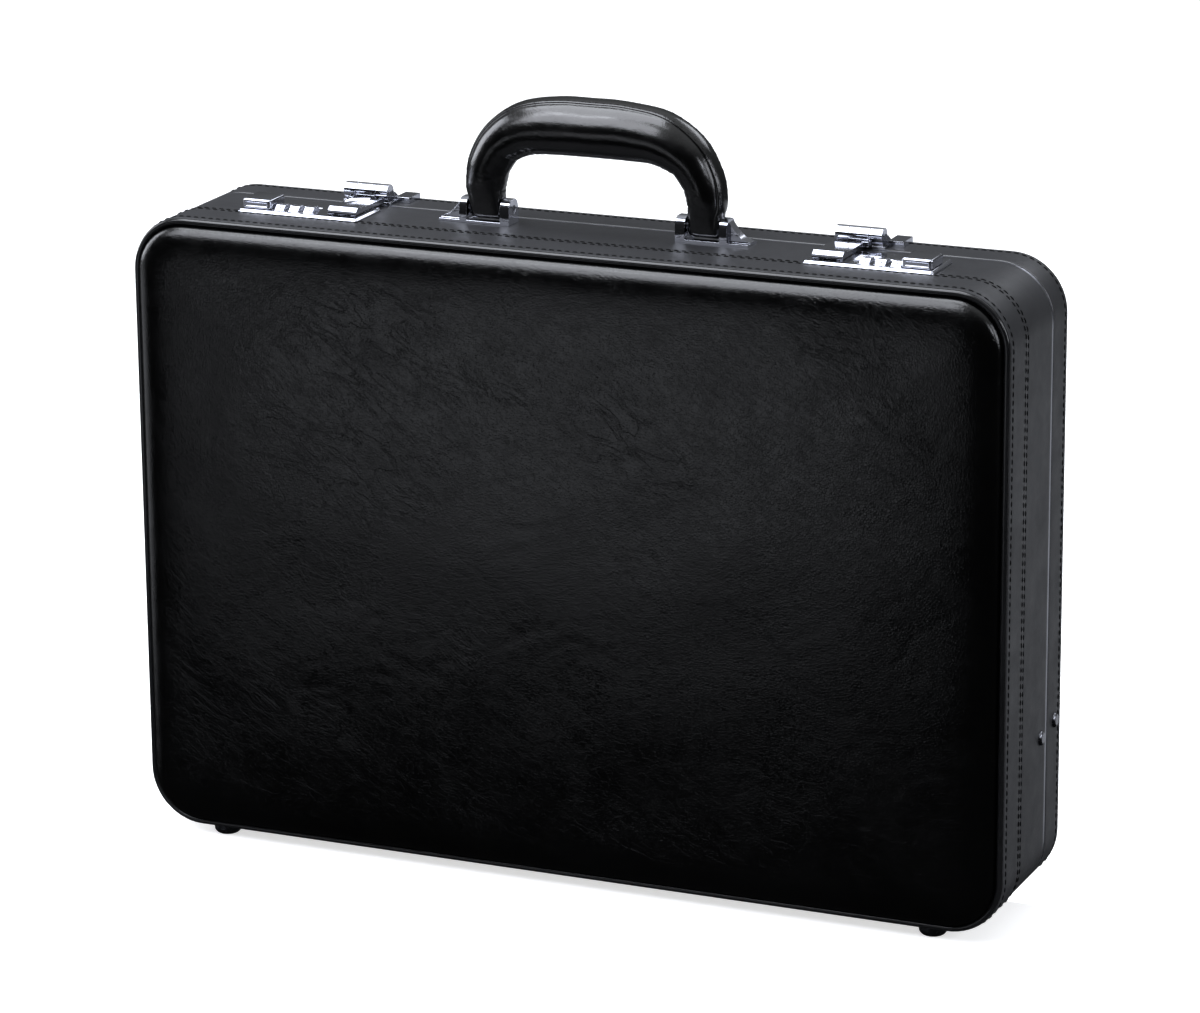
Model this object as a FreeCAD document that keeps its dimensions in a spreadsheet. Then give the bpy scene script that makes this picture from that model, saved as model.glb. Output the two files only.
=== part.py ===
import FreeCAD, Part
import math
import os
import re

import Sketcher
from FreeCAD import Placement, Rotation, Vector

# Hard-sided leather attache case, millimetres.
# Frame: x = 0 and y = 0 at the middle of the footprint, z = 0 under the feet.
# The deep half (base) faces -Y, the shallow half (lid) faces +Y, the handle is up (+Z).
# "rim" is the flat edge around a leather panel; depths are measured from the front rim.

DIMENSIONS = [
    # case
    ("case_wide", 460.0), ("case_tall", 318.0), ("case_corner", 28.0), ("foot_rise", 6.0),
    ("rim_span", 83.5), ("base_span", 62.5), ("seam_gap", 0.2), ("board", 3.0), ("skin", 1.2),
    ("band_span", 23.5), ("edge_trim", 0.8),
    # bulged leather panels and the welt around them
    ("panel_bulge", 9.0), ("panel_inset", 3.4), ("panel_skin", 1.5), ("panel_round", 7.5),
    ("foam_thick", 5.0),
    ("welt_wide", 3.0), ("welt_proud", 1.6),
    # inside
    ("valance_wall", 1.2), ("valance_grip", 8.0), ("tongue", 4.0), ("tongue_gap", 0.6),
    ("lining", 1.5),
    ("pocket_wide", 400.0), ("pocket_tall", 210.0), ("pocket_thick", 2.4), ("pocket_low", 60.0),
    ("pocket_corner", 10.0),
    # feet
    ("foot_radius", 7.0), ("foot_flat", 4.0), ("foot_side", 192.0),
    ("foot_front", 9.0), ("foot_back", 73.5),
    # hinges under the bottom edge
    ("hinge_side", 120.0), ("hinge_wide", 60.0), ("hinge_drop", 2.0), ("knuckle", 1.95),
    ("hinge_pin", 1.0), ("leaf_span", 11.0), ("leaf", 0.8), ("fit", 0.05),
    # lock plates, mirrored left and right
    ("plate_near", 117.5), ("plate_wide", 66.0), ("plate_front", 22.0), ("plate_deep", 29.0),
    ("plate", 1.8), ("lock_wide", 62.0), ("lock_deep", 24.0), ("lock_sink", 13.0), ("lock_wall", 0.8),
    ("hook_slot", 9.0), ("button_slot_wide", 14.0), ("button_slot_deep", 6.6),
    # number wheels
    ("dial_near", 147.0), ("dial_pitch", 8.0), ("dial_wide", 5.0), ("dial_radius", 6.3),
    ("dial_depth", 32.0), ("dial_proud", 2.2), ("shaft", 1.2),
    # slide buttons
    ("button_near", 166.5), ("button_wide", 15.5), ("button_front", 25.0), ("button_deep", 17.0),
    ("button_tall", 4.6), ("button_lift", 0.3), ("button_stem", 5.0), ("button_travel", 5.0),
    # hasps
    ("hasp_near", 120.5), ("hasp_wide", 15.5), ("hasp_thick", 2.4), ("hasp_tip", 29.0),
    ("hasp_gap", 0.3), ("hook_deep", 2.0), ("hook_thick", 3.0), ("hook_wide", 7.0),
    ("pivot_back", 2.6), ("pivot_lift", 6.2), ("barrel", 4.1), ("barrel_near", 119.5),
    ("barrel_wide", 24.0), ("barrel_end", 6.6), ("barrel_gap", 0.25), ("hasp_pin", 1.2),
    ("mount_thick", 1.4), ("mount_back", 13.0), ("tab_wide", 8.0), ("tab_thick", 3.0),
    ("tab_front", 7.5), ("tab_back", 20.4),
    # handle and its brackets
    ("bracket_near", 44.0), ("ear", 5.0), ("channel", 18.0), ("outer_ear", 4.0), ("fin", 11.0),
    ("bracket_mid", 48.0), ("bracket_deep", 12.0), ("ear_tall", 12.5), ("channel_thick", 1.5),
    ("pin_lift", 7.5), ("pin", 2.0), ("lug_wide", 17.0), ("lug_radius", 5.7), ("lug_rise", 16.4),
    ("leg_out", 59.6), ("leg_radius", 10.7), ("grip_rise", 53.1), ("grip_radius", 15.0),
    ("screw", 1.5), ("screw_head", 2.8), ("screw_head_tall", 2.0), ("screw_side", 5.0),
    ("backing_wide", 36.0), ("backing", 1.5),
    # folding stays
    ("stay_depth", 54.1), ("stay_rise", 84.5), ("stay_lid_depth", 74.7), ("stay_lid_rise", 87.4),
    ("stay_base_link", 95.0), ("stay_lid_link", 90.0), ("stay_wide", 7.0), ("stay_thick", 1.6),
    ("stay_air", 0.8),
    ("rivet", 2.0), ("rivet_head", 3.7), ("rivet_dome", 1.6),
]

doc = FreeCAD.newDocument("attache_case")
sheet = doc.addObject("Spreadsheet::Sheet", "Dims")
for row, (alias, size) in enumerate(DIMENSIONS, start=1):
    sheet.set(f"A{row}", alias)
    sheet.set(f"B{row}", str(size))
    sheet.setAlias(f"B{row}", alias)
doc.recompute()

ALIASES = {alias for alias, _ in DIMENSIONS}
# depths and heights that many pieces share, as formulas of the driving dimensions
FORMULAS = {
    "rim_front": "(-rim_span / 2)",
    "rim_back": "(rim_span / 2)",
    "seam": "(base_span - rim_span / 2)",
    "base_edge": "(seam - seam_gap / 2)",
    "lid_edge": "(seam + seam_gap / 2)",
    "case_top": "(foot_rise + case_tall)",
    "case_mid": "(foot_rise + case_tall / 2)",
    "inner_wide": "(case_wide - 2 * skin - 2 * board)",
    "inner_tall": "(case_tall - 2 * skin - 2 * board)",
    "inner_corner": "(case_corner - skin - board)",
    "plate_top": "(case_top + plate)",
    "hinge_up": "(foot_rise - hinge_drop)",
    "pivot_y": "(seam + pivot_back)",
    "pivot_z": "(case_top + pivot_lift)",
    "bracket_y": "(rim_front + bracket_mid)",
    "pin_z": "(case_top + pin_lift)",
    "lining_front": "(rim_front + board)",
    "lining_back": "(rim_back - board)",
    "backing_top": "(case_top - skin - board - lining)",
    "dial_z": "(plate_top + dial_proud - dial_radius)",
    "lock_bottom": "(case_top - lock_sink)",
    "lock_mid": "(plate_near + plate_wide / 2)",
    "plate_mid": "(rim_front + plate_front + plate_deep / 2)",
    "stay_plane": "(inner_wide / 2 - lining - stay_air)",
}
WORD = re.compile(r"[a-z]+(?:_[a-z]+)*")


def formula(text):
    """Write a formula of plain names in terms of the sheet's cells."""
    while any(word in FORMULAS for word in WORD.findall(str(text))):
        text = WORD.sub(lambda found: FORMULAS.get(found.group(), found.group()), str(text))
    return WORD.sub(
        lambda found: "Dims." + found.group() if found.group() in ALIASES else found.group(), str(text)
    )


def value(text):
    """The formula's present value in millimetres."""
    return float(sheet.evalExpression(formula(text)))


def bind(item, path, text):
    item.setExpression(path, formula(text))


def place(item, x="0", y="0", z="0"):
    bind(item, "Placement.Base.x", x)
    bind(item, "Placement.Base.y", y)
    bind(item, "Placement.Base.z", z)


def new_body(label, x="0", y="0", z="0"):
    body = doc.addObject("PartDesign::Body", label)
    body.Label = label
    place(body, x, y, z)
    PARTS.append(body)
    return body


def new_sketch(body, plane, x="0", y="0", lift="0"):
    """An empty sketch on one of the body's own origin planes, moved by (x, y) in it and lifted off it."""
    sketch = body.newObject("Sketcher::SketchObject", body.Name + "_sketch")
    origin = [item for item in body.Origin.OriginFeatures if item.Role == plane][0]
    sketch.AttachmentSupport = (origin, "")
    sketch.MapMode = "FlatFace"
    bind(sketch, "AttachmentOffset.Base.x", x)
    bind(sketch, "AttachmentOffset.Base.y", y)
    bind(sketch, "AttachmentOffset.Base.z", lift)
    return sketch


def drive(sketch, kind, where, name, text):
    """Add a named dimension and bind it to the formula."""
    index = sketch.addConstraint(Sketcher.Constraint(kind, *where, value(text)))
    sketch.renameConstraint(index, name)
    bind(sketch, "Constraints." + name, text)


def rounded_rectangle(sketch, wide, tall, corner, name="outer"):
    """A rectangle with round corners, centred on the sketch's origin."""
    first = sketch.GeometryCount
    x = value(wide) / 2
    y = value(tall) / 2
    turn = value(corner)
    ends = [
        ((-x + turn, -y), (x - turn, -y)), ((x, -y + turn), (x, y - turn)),
        ((x - turn, y), (-x + turn, y)), ((-x, y - turn), (-x, -y + turn)),
    ]
    for start, end in ends:
        sketch.addGeometry(Part.LineSegment(Vector(*start, 0), Vector(*end, 0)), False)
    centres = [(x - turn, -y + turn), (x - turn, y - turn), (-x + turn, y - turn), (-x + turn, -y + turn)]
    for quarter, centre in enumerate(centres, start=3):
        circle = Part.Circle(Vector(*centre, 0), Vector(0, 0, 1), turn)
        start = quarter * math.pi / 2
        sketch.addGeometry(Part.ArcOfCircle(circle, start, start + math.pi / 2), False)
    for side in range(4):
        arc = first + 4 + side
        sketch.addConstraint(Sketcher.Constraint("Tangent", first + side, 2, arc, 1))
        sketch.addConstraint(Sketcher.Constraint("Tangent", arc, 2, first + (side + 1) % 4, 1))
        sketch.addConstraint(Sketcher.Constraint(("Horizontal", "Vertical")[side % 2], first + side))
    for side in range(3):
        sketch.addConstraint(Sketcher.Constraint("Equal", first + 4 + side, first + 5 + side))
    sketch.addConstraint(Sketcher.Constraint("Symmetric", first, 1, first + 2, 1, -1, 1))
    drive(sketch, "Radius", (first + 4,), name + "_corner", corner)
    drive(sketch, "DistanceX", (first + 3, 1, first + 1, 1), name + "_wide", wide)
    drive(sketch, "DistanceY", (first, 1, first + 2, 1), name + "_tall", tall)


def outline(sketch, points, name="point"):
    """A closed outline of straight runs; every corner is a pair of formulas."""
    first = sketch.GeometryCount
    corners = [(value(x), value(y)) for x, y in points]
    count = len(corners)
    for index in range(count):
        start = Vector(*corners[index], 0)
        end = Vector(*corners[(index + 1) % count], 0)
        sketch.addGeometry(Part.LineSegment(start, end), False)
    for index, (x, y) in enumerate(points):
        edge = first + index
        after = first + (index + 1) % count
        sketch.addConstraint(Sketcher.Constraint("Coincident", edge, 2, after, 1))
        drive(sketch, "DistanceX", (-1, 1, edge, 1), f"{name}_x{index}", x)
        drive(sketch, "DistanceY", (-1, 1, edge, 1), f"{name}_y{index}", y)


def rectangle(sketch, wide, tall, name="side"):
    half_wide = f"({wide}) / 2"
    half_tall = f"({tall}) / 2"
    corners = [(-1, -1), (1, -1), (1, 1), (-1, 1)]
    outline(sketch, [(f"{x} * {half_wide}", f"{y} * {half_tall}") for x, y in corners], name)


def circle(sketch, radius, x="0", y="0", name="round"):
    first = sketch.GeometryCount
    centre = Vector(value(x), value(y), 0)
    sketch.addGeometry(Part.Circle(centre, Vector(0, 0, 1), value(radius)), False)
    drive(sketch, "DistanceX", (-1, 1, first, 3), name + "_x", x)
    drive(sketch, "DistanceY", (-1, 1, first, 3), name + "_y", y)
    drive(sketch, "Radius", (first,), name + "_radius", radius)


def pad(body, sketch, length, reverse=False, both=False):
    feature = body.newObject("PartDesign::Pad", body.Name + "_pad")
    feature.Profile = sketch
    feature.SideType = "Symmetric" if both else "One side"
    feature.Reversed = reverse
    bind(feature, "Length", length)
    return feature


def pocket(body, sketch, length, reverse=False, both=False):
    """Cut along the sketch's back side, or its front side with reverse, and insist that it cut."""
    doc.recompute()
    before = body.Shape.Volume
    feature = body.newObject("PartDesign::Pocket", body.Name + "_pocket")
    feature.Profile = sketch
    feature.SideType = "Symmetric" if both else "One side"
    feature.Reversed = reverse
    bind(feature, "Length", length)
    doc.recompute()
    if not body.Shape.Volume < before - 1e-3:
        raise RuntimeError(f"a pocket in {body.Label} cuts nothing")
    return feature


def dress(body, kind, size, wanted):
    """Round or bevel the edges of the body's tip that the test picks by their middle point."""
    doc.recompute()
    tip = body.Tip
    names = []
    for index, edge in enumerate(tip.Shape.Edges, start=1):
        middle = edge.valueAt((edge.FirstParameter + edge.LastParameter) / 2)
        if wanted(middle):
            names.append(f"Edge{index}")
    if not names:
        raise RuntimeError(f"no edges to dress on {body.Label}")
    feature = body.newObject("PartDesign::" + kind, body.Name + "_" + kind.lower())
    feature.Base = (tip, names)
    bind(feature, "Radius" if kind == "Fillet" else "Size", size)
    return feature


def near(a, b):
    return abs(a - b) < 1e-4


def ring(label, start, length, outer, wall):
    """A closed band around the case: outer is (wide, tall, corner), it runs towards +Y from start."""
    body = new_body(label, y=start, z="case_mid")
    sketch = new_sketch(body, "XZ_Plane")
    wide, tall, corner = outer
    rounded_rectangle(sketch, wide, tall, corner)
    rounded_rectangle(
        sketch, f"{wide} - 2 * ({wall})", f"{tall} - 2 * ({wall})", f"{corner} - ({wall})", "inner"
    )
    pad(body, sketch, length, reverse=True)
    return body


def rivet_holes(body, depth, rise, radius="rivet"):
    """A pair of holes through both side walls, on one line along X."""
    y = f"rim_front + {depth} - ({PLACES[body.Name]})"
    sketch = new_sketch(body, "YZ_Plane", x=y, y=f"{rise} - case_tall / 2")
    circle(sketch, radius)
    pocket(body, sketch, "case_wide + 10", both=True)


def lock_windows(body, clearance="0.2"):
    """Openings in the top wall for the two lock cases."""
    for side in SIDES:
        x = f"{side} * lock_mid"
        y = f"plate_mid - ({PLACES[body.Name]})"
        sketch = new_sketch(body, "XY_Plane", x=x, y=y, lift="case_tall / 2 + 1")
        rectangle(sketch, f"lock_wide + 2 * {clearance}", f"lock_deep + 2 * {clearance}")
        pocket(body, sketch, "lock_sink + 4")


def bracket_holes(body, radius="screw + 0.1"):
    """Screw holes in the top wall under the two handle brackets."""
    for side in SIDES:
        sketch = new_sketch(
            body, "XY_Plane", x=f"{side} * (bracket_near + ear + channel / 2)",
            y=f"bracket_y - ({PLACES[body.Name]})", lift="case_tall / 2 + 1",
        )
        circle(sketch, radius, x="-screw_side", name="near")
        circle(sketch, radius, x="screw_side", name="far")
        pocket(body, sketch, "board + 12")


PARTS = []
PLACES = {}
SIDES = (-1, 1)
SIDE_NAMES = {-1: "left", 1: "right"}
OUTER = ("case_wide", "case_tall", "case_corner")
UNDER_SKIN = ("case_wide - 2 * skin", "case_tall - 2 * skin", "case_corner - skin")
INNER = ("inner_wide", "inner_tall", "inner_corner")


# ---------------------------------------------------------------- base half


def tray(label, start, length, floor_at_start):
    """A rigid board tray: a wall all round and a flat board on one side."""
    body = new_body(label, y=start, z="case_mid")
    PLACES[body.Name] = start
    sketch = new_sketch(body, "XZ_Plane")
    rounded_rectangle(sketch, *UNDER_SKIN)
    pad(body, sketch, length, reverse=True)
    lift = "-board" if floor_at_start else "0"
    hollow = new_sketch(body, "XZ_Plane", lift=lift)
    rounded_rectangle(hollow, *INNER)
    pocket(body, hollow, f"{length} - board")
    return body


def base_shell():
    body = tray("base_shell", "rim_front", "base_edge - edge_trim - rim_front", True)
    lock_windows(body)
    bracket_holes(body)
    rivet_holes(body, "stay_depth", "stay_rise")


def base_bands():
    """The narrow front band and the wide band of the base's side leather."""
    ring("side_leather_front", "rim_front", "band_span", OUTER, "skin")
    back = ring(
        "side_leather_middle", "rim_front + band_span", "base_edge - edge_trim - rim_front - band_span",
        OUTER, "skin",
    )
    PLACES[back.Name] = "rim_front + band_span"
    lock_windows(back)
    bracket_holes(back)
    rivet_holes(back, "stay_depth", "stay_rise")


def bulged_panel(label, rim, outward):
    """A padded leather panel that stands proud of a rim, hollow for its foam."""
    body = new_body(label, y=rim, z="case_mid")
    reverse = outward > 0
    size = ("case_wide - 2 * panel_inset", "case_tall - 2 * panel_inset", "case_corner - panel_inset")
    sketch = new_sketch(body, "XZ_Plane")
    rounded_rectangle(sketch, *size)
    pad(body, sketch, "panel_bulge", reverse=reverse)
    face = outward * value("panel_bulge")
    dress(body, "Fillet", "panel_round", lambda middle: near(middle.y, face))
    hollow = new_sketch(body, "XZ_Plane")
    rounded_rectangle(hollow, *[f"{text} - {times} * panel_skin" for text, times in zip(size, (2, 2, 1))])
    pocket(body, hollow, "foam_thick", reverse=not reverse)
    foam = new_body(label + "_foam", y=rim, z="case_mid")
    core = new_sketch(foam, "XZ_Plane")
    rounded_rectangle(core, *[f"{text} - {times} * panel_skin" for text, times in zip(size, (2, 2, 1))])
    pad(foam, core, "foam_thick", reverse=reverse)


def welt(label, rim, outward):
    """The rolled leather edge that frames a bulged panel."""
    body = new_body(label, y=rim, z="case_mid")
    sketch = new_sketch(body, "XZ_Plane")
    rounded_rectangle(sketch, *OUTER)
    rounded_rectangle(
        sketch, "case_wide - 2 * welt_wide", "case_tall - 2 * welt_wide", "case_corner - welt_wide", "inner"
    )
    pad(body, sketch, "welt_proud", reverse=outward > 0)
    face = outward * value("welt_proud")
    dress(body, "Fillet", "welt_wide * 0.4", lambda middle: near(middle.y, face))


def base_frame():
    """Metal frame on the base's mouth: an edge trim, a leg inside the wall and a tongue into the lid."""
    body = new_body("base_frame", y="base_edge", z="case_mid")
    PLACES[body.Name] = "base_edge"
    trim = new_sketch(body, "XZ_Plane")
    rounded_rectangle(trim, "case_wide - 0.4", "case_tall - 0.4", "case_corner - 0.2")
    pad(body, trim, "edge_trim")
    leg = new_sketch(body, "XZ_Plane")
    rounded_rectangle(leg, *INNER)
    pad(body, leg, "valance_grip")
    tongue = new_sketch(body, "XZ_Plane")
    rounded_rectangle(
        tongue, "inner_wide - 2 * tongue_gap", "inner_tall - 2 * tongue_gap", "inner_corner - tongue_gap"
    )
    pad(body, tongue, "tongue", reverse=True)
    mouth = new_sketch(body, "XZ_Plane", lift="-tongue - 1")
    clear = "tongue_gap + valance_wall"
    rounded_rectangle(
        mouth, f"inner_wide - 2 * ({clear})", f"inner_tall - 2 * ({clear})", f"inner_corner - ({clear})"
    )
    pocket(body, mouth, "tongue + valance_grip + 2", reverse=True)
    rivet_holes(body, "stay_depth", "stay_rise", "rivet + 0.1")


def base_lining():
    """Fabric tray liner: walls and floor."""
    start = "lining_front"
    body = new_body("base_lining", y=start, z="case_mid")
    PLACES[body.Name] = start
    sketch = new_sketch(body, "XZ_Plane")
    rounded_rectangle(sketch, *INNER)
    length = "base_edge - valance_grip - lining_front"
    pad(body, sketch, length, reverse=True)
    hollow = new_sketch(body, "XZ_Plane", lift="-lining")
    rounded_rectangle(
        hollow, "inner_wide - 2 * lining", "inner_tall - 2 * lining", "inner_corner - lining"
    )
    pocket(body, hollow, f"{length} - lining")
    lock_windows(body)
    bracket_holes(body)
    rivet_holes(body, "stay_depth", "stay_rise", "rivet + 0.1")


# ---------------------------------------------------------------- lid half


def lid_shell():
    body = tray("lid_shell", "lid_edge + edge_trim", "rim_back - lid_edge - edge_trim", False)
    rivet_holes(body, "stay_lid_depth", "stay_lid_rise")


def lid_band():
    start = "lid_edge + edge_trim"
    body = ring("side_leather_lid", start, "rim_back - lid_edge - edge_trim", OUTER, "skin")
    PLACES[body.Name] = start
    rivet_holes(body, "stay_lid_depth", "stay_lid_rise")


def lid_frame():
    """Metal edge trim on the lid's mouth."""
    ring("lid_frame", "lid_edge", "edge_trim",
         ("case_wide - 0.4", "case_tall - 0.4", "case_corner - 0.2"), "board + skin - 0.2")


def lid_lining():
    start = "lid_edge + tongue + 1.5"
    body = new_body("lid_lining", y=start, z="case_mid")
    PLACES[body.Name] = start
    sketch = new_sketch(body, "XZ_Plane")
    rounded_rectangle(sketch, *INNER)
    length = "lining_back - lid_edge - tongue - 1.5"
    pad(body, sketch, length, reverse=True)
    hollow = new_sketch(body, "XZ_Plane")
    rounded_rectangle(
        hollow, "inner_wide - 2 * lining", "inner_tall - 2 * lining", "inner_corner - lining"
    )
    pocket(body, hollow, f"{length} - lining")
    rivet_holes(body, "stay_lid_depth", "stay_lid_rise")


def document_pocket():
    """Flat pocket on the lid's lining."""
    body = new_body(
        "document_pocket", y="lining_back - lining - pocket_thick",
        z="foot_rise + pocket_low + pocket_tall / 2",
    )
    sketch = new_sketch(body, "XZ_Plane")
    rounded_rectangle(sketch, "pocket_wide", "pocket_tall", "pocket_corner")
    pad(body, sketch, "pocket_thick", reverse=True)


# ---------------------------------------------------------------- feet and hinges


def feet(label, depth):
    """Two domed feet with a small flat under each."""
    body = new_body(label, y=f"rim_front + {depth}")
    for side in SIDES:
        sketch = new_sketch(body, "XY_Plane", x=f"{side} * foot_side")
        circle(sketch, "foot_radius")
        pad(body, sketch, "foot_rise")
    dress(body, "Fillet", "foot_radius - foot_flat - 0.01", lambda middle: near(middle.z, 0))


def hinge(side):
    """Butt hinge under the bottom edge: five knuckles on one pin."""
    name = SIDE_NAMES[side]
    step = "hinge_wide / 5"
    leaves = (("base", -1, (0, 2, 4)), ("lid", 1, (1, 3)))
    for half, way, places in leaves:
        body = new_body(f"hinge_{half}_{name}", x=f"{side} * hinge_side", y="seam", z="hinge_up")
        plate = new_sketch(body, "YZ_Plane")
        inside = "knuckle + 0.35"
        ends = [f"{way} * ({inside})", f"{way} * (leaf_span)"]
        outline(plate, [(ends[0], "hinge_drop - leaf"), (ends[1], "hinge_drop - leaf"),
                        (ends[1], "hinge_drop"), (ends[0], "hinge_drop")])
        pad(body, plate, "hinge_wide", both=True)
        for place_at in places:
            middle = f"({place_at} - 2) * {step}"
            eye = new_sketch(body, "YZ_Plane", lift=middle)
            circle(eye, "knuckle")
            pad(body, eye, f"{step} - 0.3", both=True)
            arm = new_sketch(body, "YZ_Plane", lift=middle)
            outline(arm, [("0", "hinge_drop - leaf"), (f"{way} * ({inside} + 0.5)", "hinge_drop - leaf"),
                          (f"{way} * ({inside} + 0.5)", "hinge_drop - 0.05"), ("0", "hinge_drop - 0.05")])
            pad(body, arm, f"{step} - 0.3", both=True)
        bore = new_sketch(body, "YZ_Plane")
        circle(bore, "hinge_pin" if half == "base" else "hinge_pin + fit")
        pocket(body, bore, "hinge_wide + 2", both=True)


# ---------------------------------------------------------------- pins that come in pairs


def pin_pair(label, radius, length, x, y, z):
    """Two round pins on one line along X, one each side of the middle."""
    body = new_body(label, y=y, z=z)
    for side in SIDES:
        rod = new_sketch(body, "YZ_Plane", lift=f"{side} * ({x})")
        circle(rod, radius)
        pad(body, rod, length, both=True)


def pins():
    wide = "ear + channel + outer_ear"
    pin_pair("hinge_pins", "hinge_pin", "hinge_wide", "hinge_side", "seam", "hinge_up")
    hasp_middle = "barrel_near + barrel_wide / 2"
    pin_pair("hasp_pins", "hasp_pin", "barrel_wide + 0.6", hasp_middle, "pivot_y", "pivot_z")
    pin_pair("handle_pins", "pin", f"{wide} - 0.4", f"bracket_near + ({wide}) / 2", "bracket_y", "pin_z")


# ---------------------------------------------------------------- locks


def lock_plate(side):
    """Bevelled plate with a slot for the hook, three wheel windows and the button's slot."""
    name = SIDE_NAMES[side]
    body = new_body(f"lock_plate_{name}", x=f"{side} * lock_mid", y="plate_mid", z="case_top")
    sketch = new_sketch(body, "XY_Plane")
    rounded_rectangle(sketch, "plate_wide", "plate_deep", "1.5")
    pad(body, sketch, "plate")
    dress(body, "Chamfer", "plate * 0.6", lambda middle: near(middle.z, value("plate")))
    hook = new_sketch(body, "XY_Plane", x=f"{side} * (hasp_near + hasp_wide / 2 - lock_mid)",
                      y="plate_deep / 2 - 12", lift="plate")
    rectangle(hook, "hook_slot", "24.5")
    pocket(body, hook, "plate")
    wheels = new_sketch(body, "XY_Plane", y="rim_front + dial_depth - plate_mid", lift="plate")
    for number in range(3):
        x = f"{side} * (dial_near + {number} * dial_pitch - lock_mid)"
        window_of_wheel(wheels, x, f"wheel{number}")
    pocket(body, wheels, "plate")
    slot = new_sketch(
        body, "XY_Plane", x=f"{side} * (button_near + button_wide / 2 + button_travel / 2 - 1.5 - lock_mid)",
        y="rim_front + button_front + button_deep / 2 - plate_mid", lift="plate",
    )
    rectangle(slot, "button_slot_wide - 1", "button_slot_deep")
    pocket(body, slot, "plate")


def window_of_wheel(sketch, x, name):
    half_x = "(dial_wide / 2 + 0.3)"
    half_y = "(dial_radius + 0.2)"
    corners = [(-1, -1), (1, -1), (1, 1), (-1, 1)]
    outline(sketch, [(f"{x} + {a} * {half_x}", f"{b} * {half_y}") for a, b in corners], name)


def lock_case(side):
    """Open steel box under the plate that carries the wheels' shaft."""
    name = SIDE_NAMES[side]
    body = new_body(f"lock_case_{name}", x=f"{side} * lock_mid", y="plate_mid", z="lock_bottom")
    outer = new_sketch(body, "XY_Plane")
    rectangle(outer, "lock_wide", "lock_deep")
    pad(body, outer, "lock_sink")
    inner = new_sketch(body, "XY_Plane", lift="lock_sink")
    rectangle(inner, "lock_wide - 2 * lock_wall", "lock_deep - 2 * lock_wall")
    pocket(body, inner, "lock_sink - lock_wall")
    middle = f"{side} * (dial_near + dial_pitch - lock_mid)"
    for end in (-1, 1):
        cheek = new_sketch(body, "XY_Plane", x=f"{middle} + {end} * (1.5 * dial_pitch - 0.8)",
                           y="rim_front + dial_depth - plate_mid")
        rectangle(cheek, "1.2", "6")
        pad(body, cheek, "lock_sink - 1.4")
    bore = new_sketch(body, "YZ_Plane", x="rim_front + dial_depth - plate_mid",
                      y="dial_z - lock_bottom", lift=f"{middle}")
    circle(bore, "shaft")
    pocket(body, bore, "3 * dial_pitch + 4", both=True)


def dials(side):
    """Three ten-sided number wheels on one shaft."""
    name = SIDE_NAMES[side]
    y = "rim_front + dial_depth"
    for number in range(3):
        label = f"dial_{name}_{number + 1}"
        drum = doc.addObject("Part::Prism", label + "_drum")
        drum.Polygon = 10
        bind(drum, "Circumradius", "dial_radius")
        bind(drum, "Height", "dial_wide")
        bore = doc.addObject("Part::Cylinder", label + "_bore")
        bind(bore, "Radius", "shaft + fit")
        bind(bore, "Height", "dial_wide")
        wheel = doc.addObject("Part::Cut", label)
        wheel.Label = label
        wheel.Base = drum
        wheel.Tool = bore
        turn = Rotation(Vector(0, 1, 0), 90) * Rotation(Vector(0, 0, 1), 18)
        wheel.Placement = Placement(Vector(0, 0, 0), turn)
        place(wheel, f"{side} * (dial_near + {number} * dial_pitch) - dial_wide / 2", y, "dial_z")
        PARTS.append(wheel)
    rod = new_body(f"dial_shaft_{name}", x=f"{side} * (dial_near + dial_pitch)", y=y, z="dial_z")
    section = new_sketch(rod, "YZ_Plane")
    circle(section, "shaft")
    pad(rod, section, "3 * dial_pitch", both=True)


def button(side):
    """Slide button: a cap with a recessed front, a stem through the plate and a bolt under it."""
    name = SIDE_NAMES[side]
    body = new_body(f"lock_button_{name}", x=f"{side} * (button_near + button_wide / 2)",
                    y="rim_front + button_front + button_deep / 2", z="plate_top + button_lift")
    cap = new_sketch(body, "XY_Plane")
    rounded_rectangle(cap, "button_wide", "button_deep", "1.6")
    pad(body, cap, "button_tall")
    dress(body, "Fillet", "1.1", lambda middle: near(middle.z, value("button_tall")))
    grip = new_sketch(body, "XZ_Plane", y="button_tall * 0.42", lift="button_deep / 2")
    rectangle(grip, "button_wide - 4", "button_tall * 0.42")
    pocket(body, grip, "0.5")
    stem = new_sketch(body, "XY_Plane", x=f"{side} * -1.5")
    rectangle(stem, "button_stem", "button_stem")
    pad(body, stem, "button_lift + plate + 1.2", reverse=True)
    bolt = new_sketch(body, "XY_Plane", x=f"{side} * -3", lift="-button_lift - plate - 1")
    rectangle(bolt, "8", "9")
    pad(body, bolt, "1.6", reverse=True)


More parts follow.
